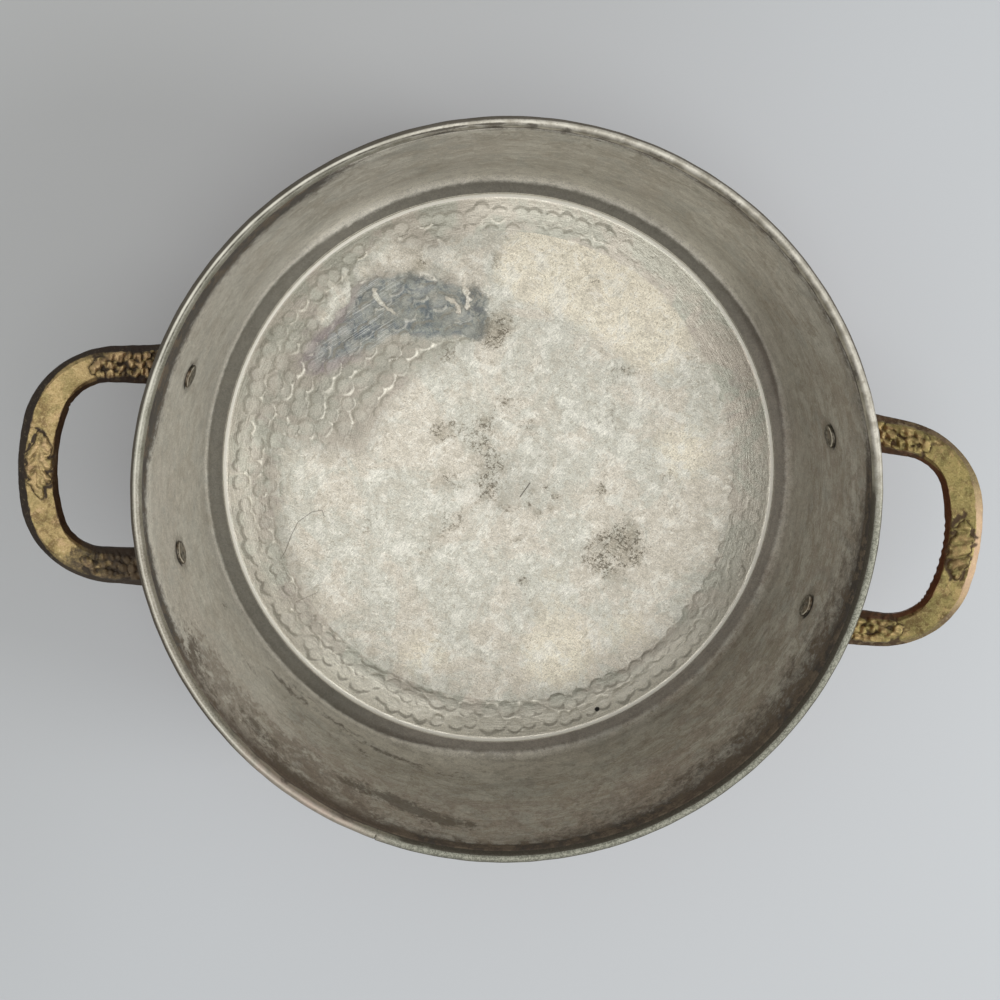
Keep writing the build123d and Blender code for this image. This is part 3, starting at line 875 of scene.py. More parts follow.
def paintTinFloor():
    paint = Paint("tinnedFloor")
    cloud = paint.noise(30, 7, 0.68, 0.8)
    patchy = paint.noise(11, 7, 0.72, 0.5)
    mottle = paint.noise(3.6, 5, 0.75, 0.3)
    grain = paint.noise(1.3, 3, 0.75)
    sand = paint.noise(0.6, 2, 0.7)
    grey = paint.mark("grey")
    dent = paint.mark("dent")
    lip = paint.mark("lip")
    blueMark = paint.mark("blue")
    broken = (patchy - 0.5) * 0.7 + (mottle - 0.5) * 0.7
    ridge = paint.step(paint.mark("ridge") + (mottle - 0.5) * 0.8 + (patchy - 0.5) * 0.6, 0.4, 0.8)
    smooth = paint.step(grey + broken * 0.7, 0.4, 0.6) * (1 - ridge)
    frost = 1 - smooth
    outer = paint.step(grey, 0.2, 0.8)
    brushed = paint.brushed(50, 0.5, 5.0)
    crossed = paint.brushed(-20, 0.6, 3.0)
    strokes = paint.choose(paint.step(patchy, 0.42, 0.58), brushed, crossed)
    strokes = paint.choose(outer, strokes, paint.around(0.5, 7.0))
    # The frost: silver, cream, beige and pale clouds with broken edges.
    base = paint.clouds(cloud, 0.46, 0.56, (207, 206, 194), (215, 209, 195))
    base = paint.coats(base, [
        (paint.mark("warm") + broken, 0.35, 0.7, 0.75, (242, 234, 213)),
        (patchy, 0.52, 0.58, 0.45, (186, 179, 164)),
        (patchy, 0.47, 0.4, 0.6, (226, 224, 213)),
        (mottle, 0.53, 0.6, 0.36, (176, 170, 154)),
        (mottle, 0.45, 0.38, 0.5, (236, 233, 222)),
    ])
    # The smooth tin: grey, with greenish and pinkish clouds.
    plain = paint.clouds(cloud, 0.44, 0.56, (158, 158, 146), (168, 161, 149))
    plain = paint.coats(plain, [
        (patchy, 0.55, 0.64, 0.5, (150, 141, 133)),
        (mottle, 0.45, 0.36, 0.4, (182, 181, 168)),
    ])
    base = paint.blend(smooth, base, plain)
    # Painted light on the smooth outer band.
    base = paint.tint(base, (paint.mark("light") * smooth * 0.85).clamp(), (222, 218, 204))
    base = paint.tint(base, paint.mark("dark").clamp() * 0.7, (118, 114, 103))
    # Where the tin has worn to a mirror: blue and violet grey painted as its reflection, with scratches
    # across it.
    blue = paint.step(blueMark + broken * 1.3, 0.3, 0.66)
    mauve = paint.step(blueMark + broken * 0.5, 0.02, 0.3) * smooth * paint.step(paint.x, -62, -82)
    base = paint.tint(base, mauve * 0.8, (116, 107, 107))
    blueTone = paint.clouds(mottle, 0.42, 0.58, (76, 84, 89), (112, 118, 114))
    blueTone = paint.coats(blueTone, [(patchy, 0.47, 0.57, 0.7, (108, 110, 103))])
    base = paint.blend(blue * (1.1 - paint.step(mottle, 0.46, 0.62) * 0.45).clamp() * 0.85, base, blueTone)
    scraped = paint.step(paint.brushed(38, 0.45, 20.0), 0.53, 0.62) * paint.step(paint.x, -48, -64)
    base = paint.tint(base, scraped * blue * 0.4, (190, 190, 186))
    # Stains like lichen: flecks that gather along winding lines, on a beige ground.
    stain = paint.mark("stain") + broken * 0.6
    winding = 1 - paint.step((patchy - 0.5).size(), 0.005, 0.05)
    flecks = paint.step(grain * 0.6 + strokes * 0.4 + stain * 0.06, 0.5, 0.58)
    lichen = (paint.step(stain, 0.05, 0.6) * (winding * 0.7 + 0.45) * flecks).clamp()
    base = paint.coats(base, [(stain, 0.1, 0.9, 0.35 * frost, (186, 176, 153))])
    base = paint.tint(base, lichen * 0.9, (98, 91, 76))
    base = paint.coats(base, [(grain, 0.52, 0.6, winding * frost * 0.6, (134, 125, 108))])
    # Painted highlight and shade of the hammer marks: lighter dish floors, bright arcs and dark arcs, broken
    # by the frost.
    base = paint.coats(base, [
        (dent, 0.3, 0.95, outer * 0.16, (188, 186, 174)),
        (lip + broken * 0.5, 0.1, 1.0, outer * (0.75 - blue * 0.45), (220, 216, 202)),
        (lip + broken * 0.3, -0.08, -0.7, outer * 0.65, (112, 108, 96)),
    ])
    level = 1 + (strokes - 0.5) * (0.6 - outer * 0.2) + (grain - 0.5) * (0.7 - outer * 0.3)
    level = level + (sand - 0.5) * 1.1
    base = paint.blend(1.0, base, level, "MULTIPLY")
    dot = paint.spot(*floorLook["dot"], 0.25, (grain - 0.5) * 0.5)
    base = paint.tint(base, dot, (22, 20, 18))
    base = paint.tint(base, ridge * 0.85, (240, 237, 226))
    hair = paint.stroke(floorLook["hair"], 0.17) * 0.6
    nick = paint.stroke(floorLook["nick"], 0.22) * 0.8
    scratch = paint.stroke(floorLook["scratch"], 0.2) * 0.4
    base = paint.tint(base, hair.largest(nick).largest(scratch), (60, 52, 42))
    normal = paint.bump(patchy * 0.6 + mottle * 0.4, 0.25)
    normal = paint.bump(grain * 0.5 + strokes * 0.5, 0.1, normal)
    roughness = (0.3 + frost * 0.16 + mottle * 0.08 + lichen * 0.1).clamp()
    metallic = 0.84 - frost * 0.3 - lichen * 0.3 - dot * 0.4 - ridge * 0.45
    return paint.finish(base, roughness, metallic.clamp(), normal)


def makeFloor():
    # Rings of the floor, each a closed shell: its top follows the ground, its underside is flat.
    finish = paintTinFloor()
    for number, (outer, inner, rows, columns) in enumerate(floorLook["rings"]):
        radius = np.linspace(outer, inner, rows // coarse)
        azimuth = np.arange(columns // coarse) * 360 / (columns // coarse)
        x, y, ground, marks = floorGround(radius, azimuth)
        ground *= ease(floorEdge - radius, -0.1, 0.35)[:, None]
        topSide = np.stack([x, y, tinFloor + ground], axis=-1)
        under = topSide.copy()
        under[..., 2] = potSizes["floorSheet"]
        if inner > 1:
            points, faces = ringShell(np.concatenate([topSide, under[[-1, 0]]]))
            marks = {key: np.concatenate([value, value[[-1, 0]]]) for key, value in marks.items()}
        else:
            points, faces = cappedShell(np.concatenate([under[[-1, 0]], topSide]))
            marks = {key: np.append(np.concatenate([value[[-1, 0]], value]).ravel(), value[-1, :2])
                     for key, value in marks.items()}
        makePiece("tinFloor" + str(number + 1), points, faces, marks, ["tin_lining"], finish)


makeFloor()


loopSizes = {
    "rise": 25.0,  # degrees
    "start": (137.6, 71.1),  # radius and height where its plane meets the wall
    "outer": {"reach": 49.75, "halfWidth": 47.7, "taper": 6.7, "crown": 100.0, "corner": 36.0},
    "inner": {"reach": 36.5, "halfWidth": 32.6, "taper": 2.1, "crown": 69.0, "corner": 15.9},
    "halfThick": 3.25,
    "bevel": (2.65, 2.4),
    "rounding": 1.8,
    "rows": (74, 104, 78),  # grid lines along a leg, a corner and half the crown
    "legStart": -8.0,  # where a leg begins, before its plane meets the wall
    "buried": 6.0,  # length of a leg's middle line up to the wall
    "wall": 138.2,  # the legs' ends are pressed on to this radius, inside the feet
    "front": 183.45,  # nothing on the handle stands past this
    "ornamentEnd": 29.5,  # length of the ornament along a leg
}

# Ornament on a leg. Each line is a petal: its distance from the wall and from the leg's middle
# line, its turn in degrees, and its length, width and height.
legOrnament = [
    (11, 0, 0, 2, 2, 1.15),
    (14.2, 0.4, 8, 2.4, 2, 0.95),
    (12.8, 3, 60, 2.4, 1.9, 0.9),
    (9.5, 3.1, 118, 2.2, 1.9, 0.95),
    (7.6, 0.3, 175, 2.4, 2, 0.85),
    (9.2, -2.8, 238, 2.4, 1.9, 0.95),
    (12.6, -2.9, 300, 2.4, 1.9, 0.9),
    (16.4, 3.6, 10, 2.8, 2, 0.8),
    (20, 3.1, -6, 3.8, 2.6, 0.95),
    (23.8, 2.6, -24, 3.1, 1.9, 0.8),
    (26.4, 0.4, -32, 4, 1.8, 1.05),
    (21.8, -0.4, 24, 4.4, 1.7, 0.85),
    (17.8, -1.2, -26, 3.1, 1.8, 0.8),
    (17.2, -4.1, -12, 2.8, 1.9, 0.75),
    (21.6, -3.8, 12, 3.8, 2.3, 0.9),
    (25.6, -3.2, 30, 2.7, 1.7, 0.7),
    (5, 2.6, 30, 2.1, 1.6, 0.6),
    (4.2, -2.8, -30, 2.4, 1.7, 0.55),
]

# The leaf on each crown: its outline, the grooves on it and the hollows beside it, all measured
# from its tip along the loop and from the middle line towards the outer side.
leftLeaf = {
    "outline": [
        (0, 0.8), (2.7, -0.9), (4.3, -2.1), (6.1, -3.2), (7.8, -4.3), (10.2, -4.3), (11.6, -3.1),
        (12.7, -4.8), (14.8, -4.9), (16.0, -3.6), (16.7, -2.6), (18.3, -4.2), (20.4, -4.3), (21.2, -3.1),
        (22.1, -1.7), (24.1, -2.0), (26.6, -1.0), (27.5, 0.0), (26.2, 1.5), (24.1, 2.4), (22.4, 3.1),
        (21.9, 4.4), (20.2, 3.5), (18.5, 4.6), (15.5, 4.7), (13.2, 3.7), (11.6, 4.7), (8.4, 3.8), (5.7, 2.2),
        (2.7, 2.4),
    ],
    "grooves": [
        [(3.0, 0.6), (7.4, 0.2), (12.4, 0.6), (17.0, 0.0), (22.0, 0.3)], [(7.4, 0.2), (10.0, -2.9)],
        [(12.4, 0.6), (16.0, -2.2)], [(9.4, 0.4), (12.6, 2.8)], [(14.6, 0.4), (17.6, 2.6)],
        [(17.0, 0.0), (20.6, -2.4)],
    ],
    "hollows": [
        [(0.0, 2.2), (1.2, 1.0), (3.2, -1.2)], [(6.2, 3.6), (8.6, 4.6)], [(17.2, 4.4), (19.8, 4.6)],
        [(12.8, 4.6), (13.8, 4.2)], [(16.2, -4.4), (17.0, -2.8)], [(11.2, -4.6), (11.8, -3.2)],
        [(21.2, -4.2), (22.6, -2.2), (25.4, -1.8)], [(2.6, 2.8), (5.0, 2.8)],
    ],
}
rightLeaf = {
    "outline": [
        (0, 1.7), (1.6, 2.5), (4.1, 2.6), (6.2, 3.8), (9.4, 4.5), (10.8, 3.4), (12.2, 4.1), (14.7, 3.3),
        (17.0, 4.3), (19.0, 4.5), (20.0, 2.9), (23.3, 3.2), (24.2, 2.1), (25.8, 0.6), (24.4, -0.6),
        (21.9, -2.3), (20.3, -3.7), (18.7, -2.7), (17.2, -3.9), (13.7, -4.8), (11.9, -3.9), (10.1, -4.8),
        (8.0, -3.6), (5.5, -3.0), (2.6, -0.9), (1.2, 0.4),
    ],
    "grooves": [
        [(4.4, -1.6), (5.6, 0.6), (6.8, 2.8)], [(8.8, -3.6), (10.2, 0.0), (11.6, 3.6)],
        [(14.4, -3.8), (15.8, 0.0), (16.8, 3.4)], [(19.4, -3.0), (20.6, 0.4), (21.4, 2.6)],
    ],
    "hollows": [
        [(27.6, 1.0), (26.2, -0.4), (24.0, -2.2), (21.6, -4.4)], [(26.0, -1.2), (23.6, -3.4)],
        [(19.4, 4.8), (20.4, 3.4), (22.4, 3.6)], [(18.9, -3.8), (18.5, -3.0)], [(16.2, 4.6), (15.2, 3.8)],
        [(11.9, -5.0), (11.9, -4.2)], [(1.0, 3.0), (4.6, 3.2)], [(8.6, -4.4), (6.4, -3.6), (1.6, -0.6)],
    ],
}


def halfOutline(shape, start, counts):
    # One side of a D from the wall to the middle of its crown: a leaning leg, a corner arc that
    # touches the leg and the crown, and half the crown. Columns are along the plane and sideways.
    taper = math.radians(shape["taper"])
    normal = np.array([math.sin(taper), math.cos(taper)])
    along = np.array([math.cos(taper), -math.sin(taper)])
    crownCentre = np.array([shape["reach"] - shape["crown"], 0.0])
    k = shape["halfWidth"] * math.cos(taper) - shape["corner"]
    b = -along @ crownCentre
    c = ((k * normal - crownCentre) ** 2).sum() - (shape["crown"] - shape["corner"]) ** 2
    centre = k * normal + (-b + math.sqrt(b * b - c)) * along
    turnStart = math.atan2(normal[1], normal[0])
    toCrown = centre - crownCentre
    turnEnd = math.atan2(toCrown[1], toCrown[0])
    legStart = np.array([start, shape["halfWidth"] - math.tan(taper) * start])
    legEnd = centre + shape["corner"] * normal
    legs = run(legStart, legEnd, counts[0])
    turns = np.linspace(turnStart, turnEnd, counts[1], endpoint=False)[:, None]
    corner = centre + shape["corner"] * np.concatenate([np.cos(turns), np.sin(turns)], axis=1)
    turns = np.linspace(turnEnd, 0, counts[2])[:, None]
    crown = crownCentre + shape["crown"] * np.concatenate([np.cos(turns), np.sin(turns)], axis=1)
    return np.concatenate([legs, corner, crown])


def loopSection(width):
    # Round the bar: flat top, outer bevel and side, rounded underside, inner side and bevel.
    # Columns are the distance from the inner side and the height; width is one number per row.
    across, down = loopSizes["bevel"]
    half, rounding = loopSizes["halfThick"], loopSizes["rounding"]
    sweep = rounding * np.cos(np.radians(np.arange(0, 90, 15)))[None]
    drop = rounding * np.sin(np.radians(np.arange(0, 90, 15)))[None]
    one = np.ones_like(width)[:, None]
    wide = width[:, None]
    low = rounding - half

    def span(startX, endX, startW, endW, count):
        t = (np.arange(count) / count)[None]
        return (startX * (1 - t) + endX * t) * one, (startW * (1 - t) + endW * t) * one

    parts = [
        span(across, wide - across, half, half, 34),
        span(wide - across, wide, half, half - down, 9),
        span(wide, wide, half - down, low, 5),
        (wide - rounding + sweep, (low - drop) * one),
        span(wide - rounding, rounding, -half, -half, 12),
        ((rounding - drop) * one, (low - sweep) * one),
        span(0, 0, low, half - down, 5),
        span(0, across, half - down, half, 9),
    ]
    return [np.concatenate(columns, axis=1) for columns in zip(*parts)]


def petals(along, across, ornament):
    # Highest of several domes h (1 - |x/L|^1.6 - |y/W|^2.2)^0.45, pointed along and steep at the edge.
    total = np.zeros_like(along)
    for place, side, turn, length, width, height in ornament:
        t = math.radians(turn)
        x = (along - place) * math.cos(t) + (across - side) * math.sin(t)
        y = (across - side) * math.cos(t) - (along - place) * math.sin(t)
        inside = np.clip(1 - np.abs(x / length) ** 1.6 - np.abs(y / width) ** 2.2, 0, 1)
        total = np.maximum(total, height * inside ** 0.45)
    return total


def softened(values, times):
    # Neighbouring rows and columns averaged a few times.
    for _ in range(times):
        values = (np.roll(values, 1, 0) + np.roll(values, -1, 0) + 2 * values) / 4
        values = (np.roll(values, 1, 1) + np.roll(values, -1, 1) + 2 * values) / 4
    return values


def loopPlan():
    # The D in its plane: inner edge, middle line, the way from the inner to the outer edge, and the
    # length along the middle line, which is zero at the crown and grows towards +Y.
    s = loopSizes
    edges = []
    for shape in (s["outer"], s["inner"]):
        half = halfOutline(shape, s["legStart"], s["rows"])
        edges.append(np.concatenate([half, (half * np.array([1.0, -1.0]))[-2::-1]])[::coarse])
    outer, inner = edges
    middle = (outer + inner) / 2
    path = np.concatenate([[0], np.cumsum(np.hypot(*np.diff(middle, axis=0).T))])
    return inner, middle, outer - inner, path[-1] / 2 - path


def loopOrnament(look, along, across, fromWall):
    # The highest of leaf, petals and beads as relief, the hollows round it as recess, where shade is
    # painted, and the lift that both give to the top.
    leaf, seed = look["leaf"], look["seed"]
    wobble = 0.5 * waves(along, across, seed, 4.5)
    lumps = waves(along, across, seed + 1, 2.6)
    toTip = along - look["leafTip"]
    depth = depthInside(toTip + 0.3 * wobble, across + 0.25 * lumps, leaf["outline"])
    grooves = tracks(toTip, across + 0.2 * wobble, leaf["grooves"], 0.75) * ease(depth, 0, 0.5)
    front = (1 - np.exp(-np.clip(depth, 0, 9) / 0.75)) * (0.86 + 0.14 * waves(along, across, seed + 5, 4.2))
    front = np.clip(front - 0.42 * grooves, 0, 1.2)
    legs = petals(fromWall + wobble, across + wobble * 0.6, legOrnament)
    beads = np.zeros_like(along)
    for place in look["edgeBeads"]:
        away = np.hypot(fromWall - place, across - 5.2)
        beads = np.maximum(beads, 0.7 * np.clip(1 - (away / 1.15) ** 2, 0, 1) ** 0.5 * (along < 0))
    relief = np.maximum(np.maximum(front, legs), beads) * ease(fromWall, -2.5, 2)
    flat = 1 - ease(relief, 0.05, 0.4)
    onLeg = ease(loopSizes["ornamentEnd"] - fromWall + 2 * waves(along, across, seed + 3, 6), 0, 3)
    small = np.clip(waves(along, across, seed + 4, 3.0), 0, 1) * onLeg
    near = np.clip(softened((relief > 0.12) * 1.0, 7) * 2.1, 0, 1)
    hollow = tracks(toTip + 0.3 * lumps, across + wobble * 0.6, leaf["hollows"], look["hollowWidth"])
    between = onLeg * (1 - ease(legs + 0.12 * lumps, look["between"] - 0.4, look["between"])) * (1 - beads)
    recess = np.maximum(near * 0.9, onLeg * (0.75 - 0.4 * ease(fromWall, 3, 7))) * flat
    recess = np.maximum(recess, look["hollow"] * hollow * (1 - ease(depth, 0.5, 1.2)))
    recess = np.maximum(recess, look["groove"] * grooves)
    recess = np.maximum(recess, 0.8 * between) * (1 - 0.45 * small)
    lift = relief * look["relief"] - 0.3 * recess + 0.02 * lumps
    lift += (0.04 + 0.18 * onLeg) * lumps * ease(relief, 0.2, 0.5) + 0.35 * small * flat
    return relief, recess, lift


def loopShell(look):
    # The bar's section carried round the D, its top raised by the ornament.
    s = loopSizes
    inner, middle, crossing, path = loopPlan()
    width = np.hypot(*crossing.T)
    cross = crossing / width[:, None]
    x, w = loopSection(width)
    along = np.repeat(path[:, None], x.shape[1], axis=1)
    across = x - width[:, None] / 2
    fromWall = np.abs(path[0]) - s["buried"] - np.abs(along)
    relief, recess, lift = loopOrnament(look, along, across, fromWall)
    w = w + ease(w, 0.9, 3.0) * lift
    scallop = 0.4 * np.abs(np.sin(math.pi * along / 3.0)) * ease(along, *look["scallops"][:2])
    scallop *= 1 - ease(along, *look["scallops"][2:])
    innerSide = ease(1.4 - x, 0, 1) * ease(w, -3.2, -2.4)
    x = x + innerSide * scallop + 0.07 * waves(along, w * 3, look["seed"] + 2, 4.5)
    place = inner[:, None] + cross[:, None] * x[..., None]
    # A swelling round each leg where it leaves its foot.
    rise = math.radians(s["rise"])
    radius = np.hypot(s["start"][0] + place[..., 0] * math.cos(rise), place[..., 1])
    flare = 0.26 * np.exp(-np.clip(radius - footSizes["outside"], 0, 50) / 2.2)
    place = middle[:, None] + (place - middle[:, None]) * (1 + flare[..., None])
    w = w * (1 + flare)
    points = np.stack([s["start"][0] + place[..., 0] * math.cos(rise) - w * math.sin(rise), place[..., 1],
                       s["start"][1] + place[..., 0] * math.sin(rise) + w * math.cos(rise)], axis=-1)
    push = np.maximum(s["wall"] / np.hypot(points[..., 0], points[..., 1]), 1.0)
    points[..., :2] *= push[..., None]
    points[..., 0] = np.minimum(points[..., 0], s["front"])
    belowTop = 1 - ease(w, 3.1, 3.5)
    marks = {
        "relief": np.clip(relief, 0, 1), "recess": recess, "under": ease(-w, 0.5, 2.5), "along": along,
        "outerSide": ease(across, 3.8, 5.8) * belowTop, "innerEdge": ease(-across, 3.8, 5.8) * belowTop,
    }
    return points, marks


footSizes = {
    "legShift": 3.82,
    "legRise": 10.6,
    "rivetRadius": 9.0,
    "legRadius": 12.55,
    "outside": 141.6,
    "back": 137.68,
    "rounding": 1.5,
}


def footShell(end):
    # An egg-shaped pad: distance to its edge is the furthest that a ray reaches into a row of
    # circles that grow from the rivet's to the leg's. Its outer side lies on a cylinder.
    s = footSizes
    turns = np.radians(np.arange(0, 360, 4 * coarse))
    ray = np.stack([np.cos(turns), np.sin(turns)], axis=-1)
    share = np.linspace(0, 1, 60)[:, None]
    far = np.array([[end * s["legShift"], s["legRise"]]])
    centre = far * 0.5
    offset = share * far - centre
    size = s["rivetRadius"] + share * (s["legRadius"] - s["rivetRadius"])
    reach = offset @ ray.T
    inside = size ** 2 - (offset ** 2).sum(1)[:, None] + reach ** 2
    edge = (reach + np.sqrt(np.maximum(inside, 0))).max(0)
    quarter = np.radians(np.linspace(0, 90, 7))
    rounding = s["rounding"]
    flat = np.linspace(0.06, 1, 14, endpoint=False)[:, None]
    distance = np.concatenate([
        flat * (edge - rounding)[None],
        (edge - rounding)[None] + rounding * np.sin(quarter)[:, None],
        np.repeat(edge[None], 4, 0),
        np.array([0.6, 0.1])[:, None] * edge[None]])
    level = np.concatenate([
        np.full(14, s["outside"]), s["outside"] - rounding + rounding * np.cos(quarter),
        np.linspace(s["outside"] - rounding, s["back"], 5)[1:], [s["back"], s["back"]]])
    level = np.repeat(level[:, None], len(turns), axis=1)
    x = centre[0, 0] + distance * ray[:, 0][None]
    y = centre[0, 1] + distance * ray[:, 1][None]
    level = level - 0.09 * (1 + waves(x, y, 21, 5)) * (level > s["back"] + 0.4)
    azimuth = end * potSizes["rivetAzimuth"] + np.degrees(np.arcsin(x / level))
    return turned(level, azimuth, potSizes["rivetHeight"] + y)


def paintBrass(look):
    paint = Paint(look["name"])
    broad = paint.noise(12, 4, 0.6, 0.4)
    cloudy = paint.noise(5, 4, 0.7, 0.3)
    fleck = paint.noise(2.4, 4, 0.7)
    grain = paint.noise(0.65, 3, 0.65)
    sand = paint.noise(0.3, 2, 0.6)
    relief = paint.mark("relief")
    base = paint.clouds(broad, 0.35, 0.65, look["gold"], look["pale"])
    base = paint.coats(base, [
        (cloudy, 0.5, 0.6, 0.5, look["moss"]),
        (cloudy, 0.45, 0.36, 0.4, look["worn"]),
        (broad * 0.5 + fleck * 0.5, 0.49, 0.59, 0.7, look["brown"]),
        (grain, 0.52, 0.68, 0.4, look["brown"]),
        (grain, 0.44, 0.32, 0.3, look["glint"]),
        # Rubbed brass and a painted highlight on the relief's tops.
        (relief + (fleck - 0.5) * 1.2, 0.5, 1.0, 0.36, look["worn"]),
    ])
    # Painted shade and light on the bar's outer side: darker all along on the left handle, darker in places
    # and pale pinkish in others on the right, with glints.
    side = paint.step(paint.mark("outerSide") + (fleck - 0.5) * 0.5, 0.25, 0.6)
    base = paint.tint(base, side * paint.mark("outerDark"), look["dark"])
    base = paint.tint(base, side * paint.mark("outerPale"), look["pinkish"])
    # Painted shade on the bar's inner side and underneath.
    inside = paint.step(paint.mark("innerEdge") + (fleck - 0.5) * 0.5, 0.25, 0.6)
    base = paint.tint(base, inside * 0.85, look["innerTone"])
    base = paint.tint(base, paint.mark("under") * 0.5, look["innerTone"])
    # Painted shade in the hollows round the relief.
    recessShade = paint.step(paint.mark("recess") + (fleck - 0.5) * 0.7, 0.2, 0.85)
    base = paint.tint(base, recessShade * 0.95, look["recess"])
    tarnish = paint.step(paint.mark("darkLeg") + (fleck - 0.5) * 1.1 - relief * 0.12, 0.28, 0.75)
    base = paint.tint(base, tarnish * 0.85, look["legTone"])
    # Painted glints on the outer side.
    paintedGlint = paint.step(grain * 0.5 + fleck * 0.5, 0.45, 0.34)
    base = paint.tint(base, paintedGlint * side * look["sideGlint"], look["glint"])
    dull = (recessShade + tarnish + side * 0.5).clamp()
    normal = paint.bump(fleck, 0.16)
    normal = paint.bump(grain * 0.65 + sand * 0.35, 0.14, normal)
    return paint.finish(base, 0.36 + grain * 0.16 + dull * 0.22, 0.8 - dull * 0.5, normal)


rightLook = {
    "name": "brassRight",
    "gold": (156, 141, 90),
    "pale": (134, 122, 78),
    "moss": (112, 106, 62),
    "brown": (92, 72, 44),
    "glint": (204, 188, 140),
    "worn": (184, 154, 110),
    "dark": (112, 92, 76),
    "legTone": (96, 66, 42),
    "pinkish": (198, 166, 140),
    "innerTone": (106, 70, 52),
    "recess": (72, 52, 30),
    "hollow": 0.85,
    "hollowWidth": 1.0,
    "groove": 0.3,
    "sideGlint": 0.4,
    "between": 0.72,
    "seed": 40,
    "leaf": rightLeaf,
    "leafTip": -14.6,
    "relief": 1.0,
    "edgeBeads": (1.2, 3.3, 5.4),  # distances from the wall, along the outer edge of the -Y leg
    "scallops": (-30, -26, 6, 10),  # where the inner edge's scallops fade in and out along the loop
    # Each row is a strength and the places it grows between, from -1 at the -Y leg to 1.
    "outerDark": [(0.65, 0.25, 0.45), (0.5, -0.2, -0.45)],
    "outerPale": [(0.66, -0.42, -0.18), (-0.66, 0.16, 0.4)],
    "darkLeg": [(0.36, 0.55, 0.85), (0.36, -0.55, -0.85), (0.1, 0.5, 0.7)],
}

leftLook = {
    "name": "brassLeft",
    "gold": (172, 150, 106),
    "pale": (150, 132, 88),
    "moss": (124, 114, 72),
    "brown": (98, 78, 50),
    "glint": (214, 196, 152),
    "worn": (196, 164, 128),
    "dark": (38, 30, 26),
    "legTone": (62, 52, 40),
    "pinkish": (190, 150, 126),
    "innerTone": (58, 42, 34),
    "recess": (42, 28, 16),
    "hollow": 1.0,
    "hollowWidth": 0.7,
    "groove": 0.34,
    "sideGlint": 0.15,
    "between": 0.9,
    "seed": 60,
    "leaf": leftLeaf,
    "leafTip": -14.0,
    "relief": 1.05,
    "edgeBeads": (1.0, 3.1, 5.2, 7.3),
    "scallops": (-24, -22, -20, -18),
    "outerDark": [(0.96, -3, -2)],  # all along the loop
    "outerPale": [(0.0, 0, 1)],  # nowhere
    "darkLeg": [(0.3, 0.5, 0.85), (0.3, -0.5, -0.85), (0.62, 0.4, 0.52), (0.35, -0.76, -0.88)],
}


def makeHandle(name, node, look, turn):
    # One loop and its two feet. turn is 1 for the handle on +X and -1 for its half turn on -X.
    grid, marks = loopShell(look)
    share = marks["along"] / marks["along"].max()
    for key in ("outerDark", "outerPale", "darkLeg"):
        marks[key] = sum(strength * ease(share, low, high) for strength, low, high in look[key])
    del marks["along"]
    shells = [cappedShell(grid)] + [cappedShell(footShell(end)) for end in (-1, 1)]
    onFeet = np.ones(len(shells[1][0]) + len(shells[2][0]))
    footLevels = {"darkLeg": 0.45, "recess": 0.12}
    values = {key: np.concatenate([mark.ravel(), [0, 0], footLevels.get(key, 0.0) * onFeet])
              for key, mark in marks.items()}
    points, faces = joined(shells)
    points = points * np.array([turn, turn, 1])
    return makePiece(name, points, faces, values, [node], paintBrass(look))


makeHandle("handleRight", "handle_right", rightLook, 1)
makeHandle("handleLeft", "handle_left", leftLook, -1)


rivetSizes = {
    "headStart": 135.1,
    "shank": 3.0,
    "headRadius": 4.85,
    "domeRadius": 4.7,
    "domeHeight": 2.38,
}


def rivetShell(azimuth, seed):
    # Lathe about the rivet's own axis: chamfered inner head, shank, and hammered outer dome.
    s = rivetSizes
    wall, foot = tinInside + 0.25, footSizes["outside"] - 0.2
    head, start = s["headRadius"], s["headStart"]
    face = np.linspace(0, 1, 8)
    dome = np.radians(np.linspace(0, 84, 14))
    profile = np.concatenate([
        np.stack([0.5 + (head - 1) * face, start + 0.12 * face ** 2], -1),
        [(head - 0.18, start + 0.22), (head, start + 0.5), (head, wall), (s["shank"], wall + 0.05)],
        [(s["shank"], foot), (s["domeRadius"], foot + 0.02)],
        np.stack([s["domeRadius"] * np.cos(dome), foot + 0.15 + s["domeHeight"] * np.sin(dome)], -1)])
    turns = np.radians(np.arange(0, 360, 7.5 * coarse))
    radius = profile[:, :1]
    x = radius * np.cos(turns)[None]
    y = radius * np.sin(turns)[None]
    level = np.repeat(profile[:, 1:], len(turns), axis=1)
    level = level + 0.07 * waves(x, y, seed, 3.5, 6) * (radius < s["headRadius"] - 0.3)
    swell = 1 + 0.02 * np.sin(turns * 2 + seed)[None] * (radius > 4)
    a = math.radians(azimuth)
    outwards = np.array([math.cos(a), math.sin(a), 0])
    sideways = np.array([-math.sin(a), math.cos(a), 0])
    upwards = np.array([0, 0, 1])
    middle = np.array([0, 0, potSizes["rivetHeight"]])
    return (middle + level[..., None] * outwards + (x * swell)[..., None] * sideways
            + (y * swell)[..., None] * upwards)


def paintRivet():
    paint = Paint("rivetCopper")
    away = (paint.x * paint.x + paint.y * paint.y) ** 0.5
    inside = 1 - paint.step(away, 136.3, 136.8)
    fleck = paint.noise(1.8, 4, 0.65)
    dirt = paint.noise(6, 3, 0.6)
    copper = paint.clouds(fleck, 0.38, 0.66, (150, 92, 64), (108, 70, 52))
    tinned = paint.clouds(fleck, 0.4, 0.62, (122, 116, 103), (70, 64, 54))
    base = paint.blend(inside, copper, tinned)
    fromAxis, rise = fromRivet(paint)
    offEdge = (fromAxis - 4.15 + (fleck - 0.5) * 0.6).size()
    glint = (1 - paint.step(offEdge, 0.1, 0.5)) * paint.step(rise, 0.4, 2.6)
    base = paint.tint(base, glint * inside * 0.9, (232, 227, 212))
    base = paint.coats(base, [(dirt, 0.5, 0.62, inside * 0.2, (150, 118, 84))])
    normal = paint.bump(fleck, 0.12)
    return paint.finish(base, 0.36 + fleck * 0.2, 0.75, normal)


